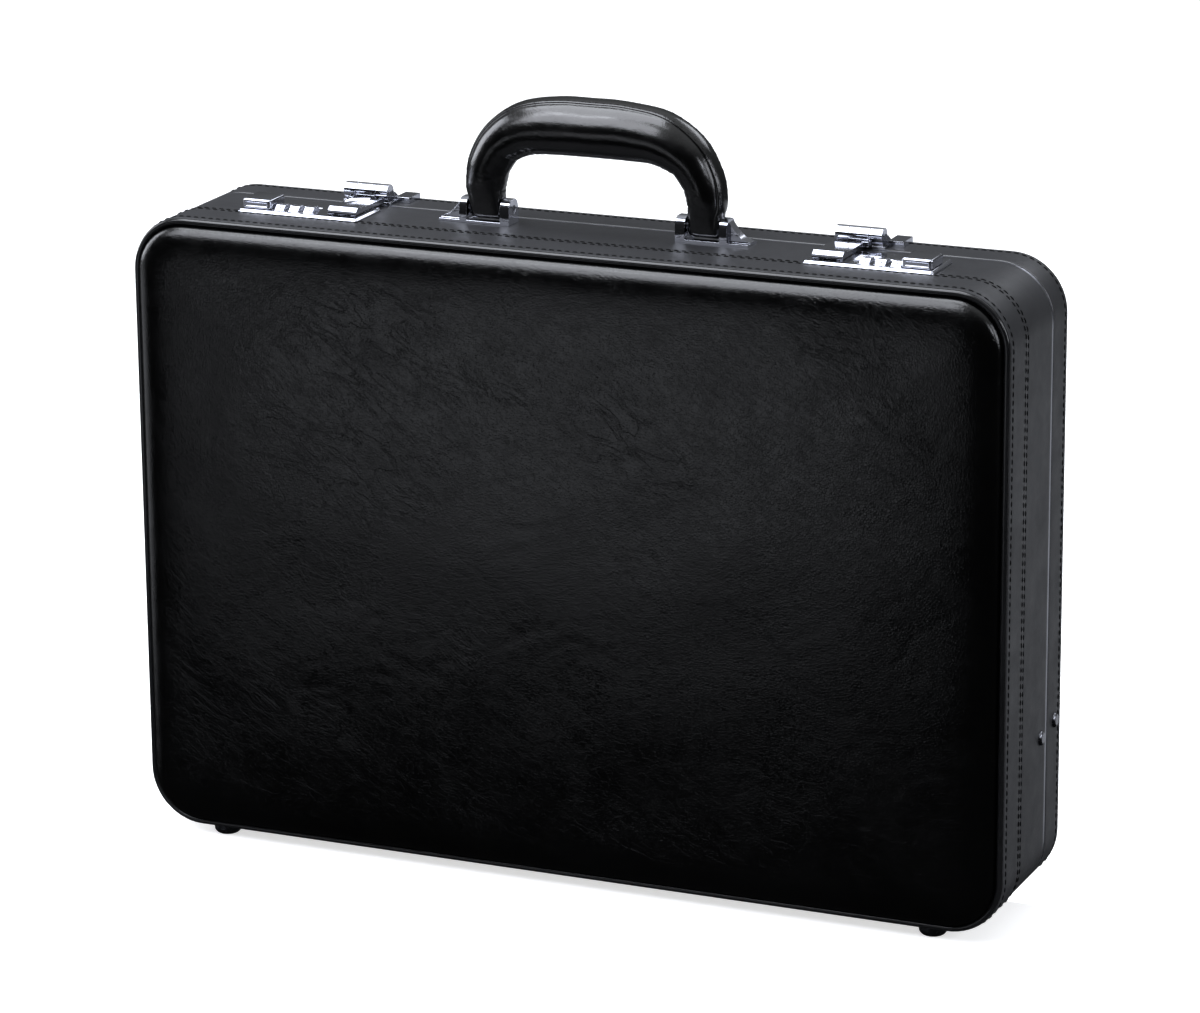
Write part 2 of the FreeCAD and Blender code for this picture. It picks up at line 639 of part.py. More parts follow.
def hasp(side):
    """Hasp leaf with a lipped tip, a short hook and the middle knuckle."""
    name = SIDE_NAMES[side]
    middle = "hasp_near + hasp_wide / 2"
    body = new_body(f"hasp_{name}", x=f"{side} * ({middle})", y="pivot_y", z="pivot_z")
    low = "plate + hasp_gap - pivot_lift"
    high = f"{low} + hasp_thick"
    tip = "rim_front + hasp_tip - pivot_y"
    root = "-barrel - 0.5"
    leaf = new_sketch(body, "YZ_Plane")
    outline(leaf, [(f"{tip} - 1.2", low), (root, low), (root, high), (f"{tip} + 5.5", high),
                   (f"{tip} + 4", f"{high} + 1.1"), (f"{tip} + 1", f"{high} + 1.1"),
                   (f"{tip} - 1.2", f"{high} - 0.6")])
    pad(body, leaf, "hasp_wide", both=True)
    knuckle_middle = f"{side} * (barrel_near + barrel_wide / 2 - ({middle}))"
    long_knuckle = "barrel_wide - 2 * barrel_end - 2 * barrel_gap"
    neck = new_sketch(body, "YZ_Plane", lift=knuckle_middle)
    outline(neck, [(f"{root} - 1", low), ("0", low), ("0", f"{high} + 1.2"), (f"{root} - 1", high)])
    pad(body, neck, long_knuckle, both=True)
    eye = new_sketch(body, "YZ_Plane", lift=knuckle_middle)
    circle(eye, "barrel")
    pad(body, eye, long_knuckle, both=True)
    step = new_sketch(
        body, "XY_Plane", x=f"{side} * (hasp_wide / 2 + 1.2)", y=f"{root} - 3.2", lift=f"{low} + 0.6"
    )
    rectangle(step, "3.4", "5")
    pad(body, step, "hasp_thick")
    bore = new_sketch(body, "YZ_Plane")
    circle(bore, "hasp_pin + fit")
    pocket(body, bore, "2 * barrel_wide", both=True)
    hook = new_sketch(body, "YZ_Plane")
    outline(hook, [(f"{tip} + 3", f"{low} + 0.5"), (f"{tip} + 3", f"{low} - hook_deep * 0.5"),
                   (f"{tip} + 4", f"{low} - hook_deep"), (f"{tip} + 3 + hook_thick", f"{low} - hook_deep"),
                   (f"{tip} + 3 + hook_thick", f"{low} + 0.5")])
    pad(body, hook, "hook_wide", both=True)


def hasp_mount(side):
    """Plate on the lid's top edge with the two outer knuckles and a tab over the back rim."""
    name = SIDE_NAMES[side]
    middle = f"{side} * (barrel_near + barrel_wide / 2)"
    body = new_body(f"hasp_mount_{name}", x=middle, y="lid_edge + 0.1", z="case_top")
    plate = new_sketch(body, "XY_Plane", y="mount_back / 2")
    rectangle(plate, "barrel_wide + 2", "mount_back")
    pad(body, plate, "mount_thick")
    pivot = "pivot_y - lid_edge - 0.1"
    for end in (-1, 1):
        at = f"{end} * (barrel_wide / 2 - barrel_end / 2)"
        eye = new_sketch(body, "YZ_Plane", x=pivot, y="pivot_lift", lift=at)
        circle(eye, "barrel")
        pad(body, eye, "barrel_end", both=True)
        web = new_sketch(body, "YZ_Plane", lift=at)
        outline(web, [("0.1", "0.5"), (f"{pivot} + barrel", "0.5"), (f"{pivot} + barrel", "pivot_lift"),
                      ("0.1", "pivot_lift")])
        pad(body, web, "barrel_end", both=True)
    heel = new_sketch(body, "YZ_Plane")
    heel_front = f"{pivot} + barrel + 0.4"
    outline(heel, [(heel_front, "0.5"), ("mount_back", "0.5"), ("mount_back", "mount_thick + 0.6"),
                   (f"{heel_front} + 1", "pivot_lift - 0.6"), (heel_front, "pivot_lift - 0.6")])
    pad(body, heel, "barrel_wide", both=True)
    tab = new_sketch(body, "XY_Plane", x="barrel_wide / 2 + tab_wide / 2", y="(tab_front + tab_back) / 2")
    rectangle(tab, "tab_wide", "tab_back - tab_front")
    pad(body, tab, "tab_thick")
    bore = new_sketch(body, "YZ_Plane", x=pivot, y="pivot_lift")
    circle(bore, "hasp_pin")
    pocket(body, bore, "2 * barrel_wide", both=True)


# ---------------------------------------------------------------- handle


def handle_bracket(side):
    """Cast bracket: a channel between two ears, the outer ear with a hollow-curved fin."""
    name = SIDE_NAMES[side]
    body = new_body(f"handle_bracket_{name}", x=f"{side} * bracket_near", y="bracket_y", z="case_top")
    wide = "ear + channel + outer_ear"
    channel = new_sketch(body, "XY_Plane", x=f"{side} * ({wide} + fin) / 2")
    rectangle(channel, f"{wide} + fin", "bracket_deep")
    pad(body, channel, "channel_thick")
    for start, thick in (("0", "ear"), ("ear + channel", "outer_ear")):
        ear = new_sketch(body, "YZ_Plane", lift=f"{side} * ({start} + {thick} / 2)")
        outline(ear, [("-bracket_deep / 2", "0.5"), ("bracket_deep / 2", "0.5"),
                      ("bracket_deep / 2", "ear_tall - bracket_deep / 2"),
                      ("bracket_deep * 0.35", "ear_tall - 1.2"), ("bracket_deep * 0.2", "ear_tall"),
                      ("-bracket_deep * 0.2", "ear_tall"), ("-bracket_deep * 0.4", "ear_tall - 1.2"),
                      ("-bracket_deep / 2", "ear_tall - 4")])
        pad(body, ear, thick, both=True)
    fin = new_sketch(body, "XZ_Plane", x=f"{side} * ({wide} - 0.5)")
    tip = f"{side} * (fin + 0.5)"
    outline(fin, [("0", "0.5"), (tip, "0.5"), (tip, "channel_thick + 0.4"),
                  (f"{side} * fin * 0.62", "ear_tall * 0.30"), (f"{side} * fin * 0.33", "ear_tall * 0.56"),
                  (f"{side} * fin * 0.14", "ear_tall * 0.80"), ("0", "ear_tall * 0.94")])
    pad(body, fin, "bracket_deep * 0.5", both=True)
    bore = new_sketch(body, "YZ_Plane", y="pin_lift", lift=f"{side} * ({wide}) / 2")
    circle(bore, "pin")
    pocket(body, bore, f"{wide} + 1", both=True)
    threads = new_sketch(body, "XY_Plane", x=f"{side} * (ear + channel / 2)", lift="channel_thick")
    circle(threads, "screw", x="-screw_side", name="near")
    circle(threads, "screw", x="screw_side", name="far")
    pocket(body, threads, "channel_thick")


def handle_backing(side):
    """Steel plate under the top wall, drilled for the two screws of a bracket."""
    name = SIDE_NAMES[side]
    x = f"{side} * (bracket_near + ear + channel / 2)"
    body = new_body(f"handle_backing_{name}", x=x, y="bracket_y", z="backing_top")
    plate = new_sketch(body, "XY_Plane")
    rounded_rectangle(plate, "backing_wide", "bracket_deep", "bracket_deep / 4")
    pad(body, plate, "backing", reverse=True)
    holes = new_sketch(body, "XY_Plane")
    circle(holes, "screw + 0.1", x="-screw_side", name="near")
    circle(holes, "screw + 0.1", x="screw_side", name="far")
    pocket(body, holes, "backing")


def bracket_screws():
    """Four screws that clamp the brackets to their backing plates."""
    screws = new_body("bracket_screws", y="bracket_y", z="backing_top - backing")
    for side in SIDES:
        for place_at in ("-screw_side", "screw_side"):
            x = f"{side} * (bracket_near + ear + channel / 2) + {place_at}"
            head = new_sketch(screws, "XY_Plane", x=x)
            circle(head, "screw_head")
            pad(screws, head, "screw_head_tall", reverse=True)
            shank = new_sketch(screws, "XY_Plane", x=x)
            circle(shank, "screw")
            pad(screws, shank, "case_top + channel_thick - backing_top + backing")


def handle_section(label, along, x, rise, turn, across, deep):
    """One oval section of the handle, square to its centre line; turn is the line's lean from upright."""
    section = doc.addObject("Part::Ellipse", f"{label}_{along}")
    bind(section, "MajorRadius", across)
    bind(section, "MinorRadius", deep)
    section.Placement = Placement(Vector(0, 0, 0), Rotation(Vector(0, 1, 0), turn))
    place(section, x, "bracket_y", f"case_top + {rise}")
    return section


def handle_grip():
    """Padded leather grip: one loft along the arch, legs drawn in towards their lugs."""
    half = [
        ("leg_out - 0.4", "lug_rise", 0, "leg_radius - 0.6", "leg_radius - 1.9"),
        ("leg_out", "lug_rise + 5", -2, "leg_radius", "leg_radius - 0.6"),
        ("leg_out - 1.2", "grip_rise * 0.6", -18, "leg_radius + 0.8", "leg_radius + 0.6"),
        ("leg_out - 8", "grip_rise * 0.82", -45, "leg_radius + 2", "leg_radius + 2"),
        ("leg_out - 24", "grip_rise * 0.97", -76, "grip_radius - 0.9", "grip_radius - 1.4"),
        ("leg_out * 0.3", "grip_rise", -88, "grip_radius - 0.1", "grip_radius - 0.8"),
    ]
    sections = []
    for index, (x, rise, turn, across, deep) in enumerate(half):
        sections.append(handle_section("grip_section", index, x, rise, turn, across, deep))
    for index, (x, rise, turn, across, deep) in reversed(list(enumerate(half))):
        sections.append(
            handle_section("grip_section", 11 - index, f"-({x})", rise, -turn - 180, across, deep)
        )
    loft = doc.addObject("Part::Loft", "handle_grip")
    loft.Label = "handle_grip"
    loft.Sections = sections
    loft.Solid = True
    loft.Ruled = False
    PARTS.append(loft)


def handle_lug(side):
    """Leather-covered end of the handle that turns on the pin between the ears."""
    name = SIDE_NAMES[side]
    x = f"{side} * (bracket_near + ear + channel / 2)"
    body = new_body(f"handle_end_{name}", x=x, y="bracket_y", z="pin_z")
    round_end = new_sketch(body, "YZ_Plane")
    circle(round_end, "lug_radius")
    pad(body, round_end, "lug_wide", both=True)
    stem = new_sketch(body, "YZ_Plane")
    outline(stem, [("-lug_radius", "0"), ("lug_radius", "0"), ("lug_radius + 1.2", "lug_rise - pin_lift"),
                   ("-lug_radius - 1.2", "lug_rise - pin_lift")])
    pad(body, stem, "lug_wide", both=True)
    bore = new_sketch(body, "YZ_Plane")
    circle(bore, "pin + fit")
    pocket(body, bore, "lug_wide + 2", both=True)


# ---------------------------------------------------------------- stays


def stay_bar(label, side, y, z, angle, layer, length, holes):
    """A flat link with round ends; the first hole is at (y, z) and it leans by angle from +Z towards +Y."""
    x = f"{side} * (stay_plane - {layer} * (stay_thick + 0.4) - stay_thick / 2)"
    body = new_body(label, x=x, y=y, z=z)
    body.Placement = Placement(Vector(0, 0, 0), Rotation(Vector(1, 0, 0), -angle))
    place(body, x, y, z)
    strip = new_sketch(body, "YZ_Plane", y=f"{length} / 2")
    rounded_rectangle(strip, "stay_wide", f"{length} + stay_wide", "stay_wide / 2 - 0.01")
    pad(body, strip, "stay_thick", both=True)
    bores = new_sketch(body, "YZ_Plane")
    circle(bores, holes[0], name="near")
    circle(bores, holes[1], y=length, name="far")
    pocket(body, bores, "stay_thick + 2", both=True)
    return body


def rivet_pair(label, depth, rise, reach):
    """Domed rivets through both side walls, their shanks reaching inwards by reach from the wall's face."""
    body = new_body(label, y=f"rim_front + {depth}", z=f"foot_rise + {rise}")
    for side in SIDES:
        face = f"{side} * case_wide / 2"
        shank = new_sketch(body, "YZ_Plane", lift=face)
        circle(shank, "rivet")
        pad(body, shank, reach, reverse=side > 0)
        head = new_sketch(body, "YZ_Plane", lift=face)
        circle(head, "rivet_head")
        pad(body, head, "rivet_dome", reverse=side < 0)
    outer = value("case_wide / 2 + rivet_dome")
    dress(body, "Fillet", "rivet_dome - 0.05", lambda middle: near(abs(middle.x), outer))


def stays():
    """Two-link folding stays; the lid pivot is the open one, its rivet stops short of the link."""
    y = value("rim_front + stay_depth")
    z = value("foot_rise + stay_rise")
    lid_y = value("rim_front + stay_lid_depth")
    lid_z = value("foot_rise + stay_lid_rise")
    apart = Vector(0, lid_y - y, lid_z - z)
    near_link = value("stay_base_link")
    foot = (near_link ** 2 - value("stay_lid_link") ** 2 + apart.Length ** 2) / (2 * apart.Length)
    height = (near_link ** 2 - foot ** 2) ** 0.5
    along = Vector(apart).normalize()
    elbow = Vector(0, y, z) + along * foot + Vector(0, -along.z, along.y) * height
    base_lean = lean(Vector(0, y, z), elbow)
    lid_lean = lean(elbow, Vector(0, lid_y, lid_z))
    elbows = new_body("stay_elbows", y=str(elbow.y), z=str(elbow.z))
    for side in SIDES:
        name = SIDE_NAMES[side]
        stay_bar(f"stay_base_{name}", side, "rim_front + stay_depth", "foot_rise + stay_rise", base_lean,
                 0, "stay_base_link", ("rivet + fit", "rivet"))
        stay_bar(f"stay_lid_{name}", side, str(elbow.y), str(elbow.z), lid_lean,
                 1, "stay_lid_link", ("rivet + fit", "rivet + 0.5"))
        rod = new_sketch(elbows, "YZ_Plane", lift=f"{side} * stay_plane")
        circle(rod, "rivet")
        pad(elbows, rod, "2 * stay_thick + 0.4", reverse=side > 0)
    rivet_pair("stay_rivets_base", "stay_depth", "stay_rise", "case_wide / 2 - stay_plane + stay_thick + 0.2")
    rivet_pair("stay_rivets_lid", "stay_lid_depth", "stay_lid_rise", "case_wide / 2 - stay_plane - 0.1")


def lean(start, end):
    """Angle of the line start-end from +Z towards +Y, in degrees."""
    line = end - start
    angle = math.degrees(Vector(0, 0, 1).getAngle(line))
    return angle if line.y > 0 else -angle


def main():
    base_shell()
    base_bands()
    bulged_panel("front_panel", "rim_front", -1)
    welt("front_welt", "rim_front", -1)
    base_frame()
    base_lining()
    lid_shell()
    lid_band()
    bulged_panel("rear_panel", "rim_back", 1)
    welt("rear_welt", "rim_back", 1)
    lid_frame()
    lid_lining()
    document_pocket()
    feet("base_feet", "foot_front")
    feet("lid_feet", "foot_back")
    for side in SIDES:
        hinge(side)
        lock_plate(side)
        lock_case(side)
        dials(side)
        button(side)
        hasp(side)
        hasp_mount(side)
        handle_bracket(side)
        handle_backing(side)
        handle_lug(side)
    pins()
    bracket_screws()
    handle_grip()
    stays()
    doc.recompute()
    for item in doc.Objects:
        if "Invalid" in item.State or "Error" in item.State:
            raise RuntimeError(f"{item.Label} is {item.State}")
    for item in PARTS:
        if item.Shape.isNull() or not item.Shape.isValid():
            raise RuntimeError(f"{item.Label} has no valid shape")
    os.makedirs("parts", exist_ok=True)
    for item in PARTS:
        item.Shape.exportStep(f"parts/{item.Label}.step")
    print(len(PARTS), "sub-parts")


main()
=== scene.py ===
import math
import random

import bmesh
import bpy
import numpy as np
from mathutils import Matrix, Vector, noise


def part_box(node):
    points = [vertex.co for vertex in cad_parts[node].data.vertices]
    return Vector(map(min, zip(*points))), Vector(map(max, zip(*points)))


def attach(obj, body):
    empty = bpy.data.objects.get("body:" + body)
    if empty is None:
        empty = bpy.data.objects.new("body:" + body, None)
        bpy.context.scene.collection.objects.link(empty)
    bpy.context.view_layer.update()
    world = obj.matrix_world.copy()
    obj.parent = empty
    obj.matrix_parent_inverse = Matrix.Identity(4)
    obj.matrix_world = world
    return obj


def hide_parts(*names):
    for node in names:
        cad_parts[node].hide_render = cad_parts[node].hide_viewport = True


# A hard-sided leather attache case. Everything is in metres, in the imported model's own frame:
# the deep base faces -Y, the lid faces +Y, the handle is up.

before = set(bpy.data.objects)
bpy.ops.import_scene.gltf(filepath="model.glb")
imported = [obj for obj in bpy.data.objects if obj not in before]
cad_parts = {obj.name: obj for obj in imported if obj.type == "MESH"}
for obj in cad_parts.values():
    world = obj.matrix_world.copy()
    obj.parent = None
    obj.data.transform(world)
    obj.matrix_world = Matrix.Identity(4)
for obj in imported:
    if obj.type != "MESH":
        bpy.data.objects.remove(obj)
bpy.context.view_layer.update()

MM = 0.001
SIDES = ("left", "right")
DICE = random.Random(4)


# ---------- materials


class Shader:
    """A material under construction: add() makes a node and fills its inputs with values or sockets."""

    def __init__(self, name):
        self.material = bpy.data.materials.new(name)
        self.material.use_nodes = True
        self.tree = self.material.node_tree
        self.tree.nodes.clear()

    def add(self, kind, inputs=(), output=0, **settings):
        node = self.tree.nodes.new("ShaderNode" + kind)
        for key, setting in settings.items():
            setattr(node, key, setting)
        for key, given in dict(inputs).items():
            if isinstance(given, bpy.types.NodeSocket):
                self.tree.links.new(given, node.inputs[key])
            else:
                node.inputs[key].default_value = given
        return node.outputs[output]

    def place(self, stretch=(1, 1, 1), turn=(0, 0, 0)):
        """Object coordinates in metres, turned and then stretched."""
        here = self.add("TexCoord", output=3)
        turned = self.add("Mapping", {"Vector": here, "Rotation": turn})
        return self.add("Mapping", {"Vector": turned, "Scale": stretch})

    def noise(self, size, detail=4, rough=0.5, vector=None, distort=0.0):
        """Noise whose blobs are about size metres across."""
        where = vector or self.place()
        inputs = {"Vector": where, "Scale": 1 / size, "Detail": detail, "Roughness": rough,
                  "Distortion": distort}
        return self.add("TexNoise", inputs)

    def pebbles(self, size, vector=None, feature="DISTANCE_TO_EDGE"):
        where = vector or self.place()
        return self.add("TexVoronoi", {"Vector": where, "Scale": 1 / size}, feature=feature)

    def spread(self, given, low, high, to_low=0.0, to_high=1.0):
        """Maps low..high to to_low..to_high, held at the ends."""
        inputs = {"Value": given, "From Min": low, "From Max": high, "To Min": to_low, "To Max": to_high}
        return self.add("MapRange", inputs)

    def maths(self, operation, a, b=0.0):
        return self.add("Math", {0: a, 1: b}, operation=operation)

    def mix(self, share, first, second):
        """A colour between two."""
        node = self.tree.nodes.new("ShaderNodeMix")
        node.data_type = "RGBA"
        for index, given in ((0, share), (6, first), (7, second)):
            if isinstance(given, bpy.types.NodeSocket):
                self.tree.links.new(given, node.inputs[index])
            else:
                node.inputs[index].default_value = given
        return node.outputs[2]

    def bump(self, height, depth, under=None):
        inputs = {"Height": height, "Distance": depth, "Strength": 1.0}
        if under is not None:
            inputs["Normal"] = under
        return self.add("Bump", inputs)

    def finish(self, **inputs):
        surface = self.add("BsdfPrincipled", {key.replace("_", " "): v for key, v in inputs.items()})
        out = self.tree.nodes.new("ShaderNodeOutputMaterial")
        self.tree.links.new(surface, out.inputs["Surface"])
        return self.material


def grey(level, tint=(1.0, 1.0, 1.0)):
    return (level * tint[0], level * tint[1], level * tint[2], 1.0)


COOL = (0.96, 0.98, 1.08)


def creases(shader):
    """Slanting creases, deep ones in patches and fine ones all over, as a depth from 0 upwards."""
    slant = shader.place(stretch=(1.0, 1.0, 2.3), turn=(0, math.radians(-32), 0))
    crease_field = shader.noise(26 * MM, detail=5, rough=0.62, vector=slant, distort=0.7)
    ridge = shader.maths("ABSOLUTE", shader.maths("SUBTRACT", crease_field, 0.5))
    crease = shader.spread(ridge, 0.0, 0.035, 1.0, 0.0)
    patches = shader.spread(shader.noise(70 * MM, detail=2), 0.42, 0.62)
    crease = shader.maths("MULTIPLY", crease, patches)
    fine_field = shader.noise(9 * MM, detail=4, rough=0.6, vector=slant, distort=0.5)
    fine_ridge = shader.maths("ABSOLUTE", shader.maths("SUBTRACT", fine_field, 0.5))
    fine = shader.maths("MULTIPLY", shader.spread(fine_ridge, 0.0, 0.04, 1.0, 0.0), 0.35)
    return shader.maths("ADD", crease, fine)


def painted_edges(shader, painted, roughness, specular):
    """The roughness and specular level with gloss added on the cut edges at these depths in Y."""
    split = shader.tree.nodes.new("ShaderNodeSeparateXYZ")
    shader.tree.links.new(shader.add("TexCoord", output=3), split.inputs[0])
    paint = 0.0
    for depth in painted:
        away = shader.maths("ABSOLUTE", shader.maths("SUBTRACT", split.outputs[1], depth))
        paint = shader.maths("MAXIMUM", shader.spread(away, 0.45 * MM, 0.75 * MM, 1.0, 0.0), paint)
    left = shader.maths("SUBTRACT", 1.0, paint)
    roughness = shader.maths("ADD", shader.maths("MULTIPLY", roughness, left),
                             shader.maths("MULTIPLY", paint, 0.16))
    return roughness, shader.spread(paint, 0.0, 1.0, specular, 0.7)


def leather(name, dark, light, gloss, grain, grain_depth, crease_depth, coat=0.0, specular=0.5,
            streaks=0.0, swell=0.0, painted=()):
    """Dyed leather: pebbled grain, slanting creases, cloudy dye and patches of duller finish.
    streaks is the depth of fine upright wrinkles, swell the depth of soft unevenness, and painted
    lists the depths in Y of glossy cut edges."""
    shader = Shader(name)
    crease = creases(shader)
    cells = shader.spread(shader.pebbles(grain), 0.0, 0.35)
    pores = shader.noise(grain * 0.35, detail=2)
    surface = shader.maths("ADD", cells, shader.maths("MULTIPLY", pores, 0.5))
    clouds = shader.noise(90 * MM, detail=5, rough=0.6)
    colour = shader.mix(shader.spread(clouds, 0.35, 0.68), grey(dark, COOL), grey(light, COOL))
    colour = shader.mix(shader.maths("MULTIPLY", crease, 0.15), colour, grey(light * 1.6, COOL))
    wear = shader.noise(14 * MM, detail=6, rough=0.65)
    roughness = shader.spread(wear, 0.3, 0.7, gloss - 0.05, gloss + 0.07)
    normal = shader.bump(surface, grain_depth)
    if swell:
        normal = shader.bump(shader.noise(5 * MM, detail=5, rough=0.6), swell, under=normal)
    normal = shader.bump(crease, -crease_depth, under=normal)
    if streaks:
        upright = shader.place(stretch=(1.0, 0.25, 0.16))
        wrinkles = shader.noise(1.6 * MM, detail=4, rough=0.6, vector=upright, distort=0.3)
        normal = shader.bump(wrinkles, streaks, under=normal)
    if painted:
        roughness, specular = painted_edges(shader, painted, roughness, specular)
    return shader.finish(
        Base_Color=colour, Roughness=roughness, Normal=normal, Specular_IOR_Level=specular,
        Coat_Weight=coat, Coat_Roughness=max(gloss - 0.12, 0.05), Coat_Normal=normal,
    )


def plated(name, level, gloss, brushed=0.0):
    """Plated metal: faint ripples, hairline scratches and duller finger marks."""
    shader = Shader(name)
    marks = shader.spread(shader.noise(5 * MM, detail=4, rough=0.6), 0.35, 0.75)
    lines = shader.noise(0.5 * MM, detail=3, vector=shader.place(stretch=(0.06, 1.0, 1.0)))
    scratches = shader.spread(lines, 0.62, 0.74)
    roughness = shader.maths("ADD", gloss, shader.maths("MULTIPLY", marks, 0.06))
    roughness = shader.maths("ADD", roughness, shader.maths("MULTIPLY", scratches, 0.08 + brushed))
    colour = shader.mix(marks, grey(level, COOL), grey(level * 0.88, COOL))
    normal = shader.bump(shader.noise(2.5 * MM, detail=2), 0.01 * MM)
    normal = shader.bump(lines, (0.002 + 0.02 * brushed) * MM, under=normal)
    return shader.finish(Base_Color=colour, Metallic=1.0, Roughness=roughness, Normal=normal)


def woven(name, dark, light, thread, tint=COOL):
    """A napped lining: fine weave, brushed clouds and soft sheen."""
    shader = Shader(name)
    threads = []
    for turn in (45, -45):
        place = shader.place(turn=(0, math.radians(turn), 0))
        inputs = {"Vector": place, "Scale": 0.3 / thread, "Distortion": 0.6, "Detail": 1.0}
        threads.append(shader.add("TexWave", inputs, output=1))
    weave = shader.maths("MAXIMUM", *threads)
    nap = shader.noise(16 * MM, detail=6, rough=0.7)
    colour = shader.mix(shader.spread(nap, 0.35, 0.7), grey(dark, tint), grey(light, tint))
    colour = shader.mix(shader.maths("MULTIPLY", weave, 0.3), colour, grey(light * 1.3, tint))
    normal = shader.bump(weave, thread * 0.25)
    normal = shader.bump(nap, 0.15 * MM, under=normal)
    return shader.finish(
        Base_Color=colour, Roughness=0.85, Normal=normal, Sheen_Weight=0.35, Sheen_Roughness=0.4,
    )


def plain_grain(name, dark, light, size, gloss, depth, tint=(1, 1, 1), specular=0.5):
    """A dull material with a fine two-tone grain, such as board, foam or thread."""
    shader = Shader(name)
    fleck = shader.noise(size, detail=5, rough=0.7)
    colour = shader.mix(shader.spread(fleck, 0.3, 0.7), grey(dark, tint), grey(light, tint))
    roughness = shader.spread(fleck, 0.3, 0.7, gloss - 0.06, gloss + 0.06)
    return shader.finish(Base_Color=colour, Roughness=roughness, Normal=shader.bump(fleck, depth),
                         Specular_IOR_Level=specular)


PANEL = leather("panel_leather", 0.0002, 0.0005, 0.165, 1.3 * MM, 0.03 * MM, 0.04 * MM, swell=0.04 * MM)
PAINT_INSET = 0.15 * MM
CUT_EDGES = (
    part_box("side_leather_front")[1].y - PAINT_INSET,
    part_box("side_leather_middle")[1].y - PAINT_INSET,
    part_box("side_leather_lid")[0].y + PAINT_INSET,
)
EDGE = leather("edge_leather", 0.0165, 0.021, 0.48, 0.8 * MM, 0.015 * MM, 0.02 * MM, specular=0.3,
               painted=CUT_EDGES)
WELT = leather("welt_leather", 0.003, 0.005, 0.13, 0.9 * MM, 0.008 * MM, 0.01 * MM)
HANDLE = leather("handle_leather", 0.0002, 0.0005, 0.20, 1.1 * MM, 0.012 * MM, 0.04 * MM, coat=0.3,
                 streaks=0.025 * MM)
THREAD = plain_grain("thread", 0.0008, 0.002, 0.5 * MM, 0.7, 0.03 * MM, specular=0.15)
CHROME = plated("chrome", 0.60, 0.06)
STEEL = plated("steel", 0.45, 0.24, brushed=0.1)
TRIM = plated("frame_metal", 0.42, 0.28, brushed=0.12)
DARK_METAL = plated("foot_metal", 0.22, 0.22)
DIAL = plated("dial_metal", 0.86, 0.22)
INK = plain_grain("dial_ink", 0.006, 0.012, 0.4 * MM, 0.5, 0.01 * MM)
LINING = woven("lining", 0.035, 0.060, 0.5 * MM, tint=(0.95, 0.97, 1.05))
BOARD = plain_grain("board", 0.10, 0.16, 1.2 * MM, 0.8, 0.05 * MM, tint=(1.1, 0.9, 0.7))
FOAM = plain_grain("foam", 0.05, 0.08, 1.0 * MM, 0.9, 0.2 * MM)


# ---------- mesh tools


def piece(name, points, faces, material, body, smooth=True):
    """A mesh that rides on a body."""
    mesh = bpy.data.meshes.new(name)
    faces = [tuple(dict.fromkeys(face)) for face in faces]
    mesh.from_pydata([tuple(point) for point in points], [], [face for face in faces if len(face) > 2])
    shell = bmesh.new()
    shell.from_mesh(mesh)
    bmesh.ops.recalc_face_normals(shell, faces=shell.faces)
    shell.to_mesh(mesh)
    shell.free()
    mesh.polygons.foreach_set("use_smooth", [smooth] * len(mesh.polygons))
    mesh.materials.append(material)
    mesh.update()
    made = bpy.data.objects.new(name, mesh)
    bpy.context.scene.collection.objects.link(made)
    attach(made, body)
    return made


class Outline:
    """A rounded rectangle in XZ, run clockwise seen from the front, from the middle of the top."""

    def __init__(self, half, low, high, corner):
        self.half, self.low, self.high, self.corner = half, low, high, corner
        flat = half - corner
        rise = high - low - 2 * corner
        turn = corner * math.pi / 2
        self.runs = [flat, turn, rise, turn, 2 * flat, turn, rise, turn, flat]
        self.ends = list(np.cumsum(self.runs))
        self.length = self.ends[-1]

    def at(self, along):
        """(x, z) and the outward normal at that distance."""
        along = along % self.length
        run = next(i for i, end in enumerate(self.ends) if along <= end + 1e-12)
        into = along - (self.ends[run] - self.runs[run])
        flat = self.half - self.corner
        a = into / self.corner
        if run in (0, 8):
            x = into if run == 0 else into - flat
            return (x, self.high), (0.0, 1.0)
        if run == 4:
            return (flat - into, self.low), (0.0, -1.0)
        if run == 2:
            return (self.half, self.high - self.corner - into), (1.0, 0.0)
        if run == 6:
            return (-self.half, self.low + self.corner + into), (-1.0, 0.0)
        normal = {1: (math.sin(a), math.cos(a)), 3: (math.cos(a), -math.sin(a)),
                  5: (-math.sin(a), -math.cos(a)), 7: (-math.cos(a), math.sin(a))}[run]
        centre_x = flat if run in (1, 3) else -flat
        centre_z = self.high - self.corner if run in (1, 7) else self.low + self.corner
        return (centre_x + self.corner * normal[0], centre_z + self.corner * normal[1]), normal

    def stations(self, step, top_stops=()):
        """Distances round the outline no more than step apart, with stops at the given x on the top."""
        stops = sorted({0.0, *self.ends[:-1], *[x % self.length for x in top_stops]})
        stops.append(self.length)
        found = []
        for start, end in zip(stops, stops[1:]):
            count = max(1, math.ceil((end - start) / step - 1e-9))
            found += [start + (end - start) * i / count for i in range(count)]
        return found


def quads_between(first, second, closed=True):
    """Faces between two equal rows of point numbers."""
    count = len(first)
    last = count if closed else count - 1
    return [(first[i], first[(i + 1) % count], second[(i + 1) % count], second[i]) for i in range(last)]


def steps_between(start, end, step, stops=()):
    """Values from start to end no more than step apart, with all stops among them."""
    marks = sorted({start, end, *[s for s in stops if start < s < end]})
    found = []
    for a, b in zip(marks, marks[1:]):
        count = max(1, math.ceil((b - a) / step - 1e-9))
        found += [a + (b - a) * i / count for i in range(count)]
    return found + [end]


def soft_noise(x, y, z, size, seed=0.0):
    return noise.noise(Vector((x, y, z)) / size + Vector((seed, seed * 0.7, seed * 0.3)))


# ---------- stitches


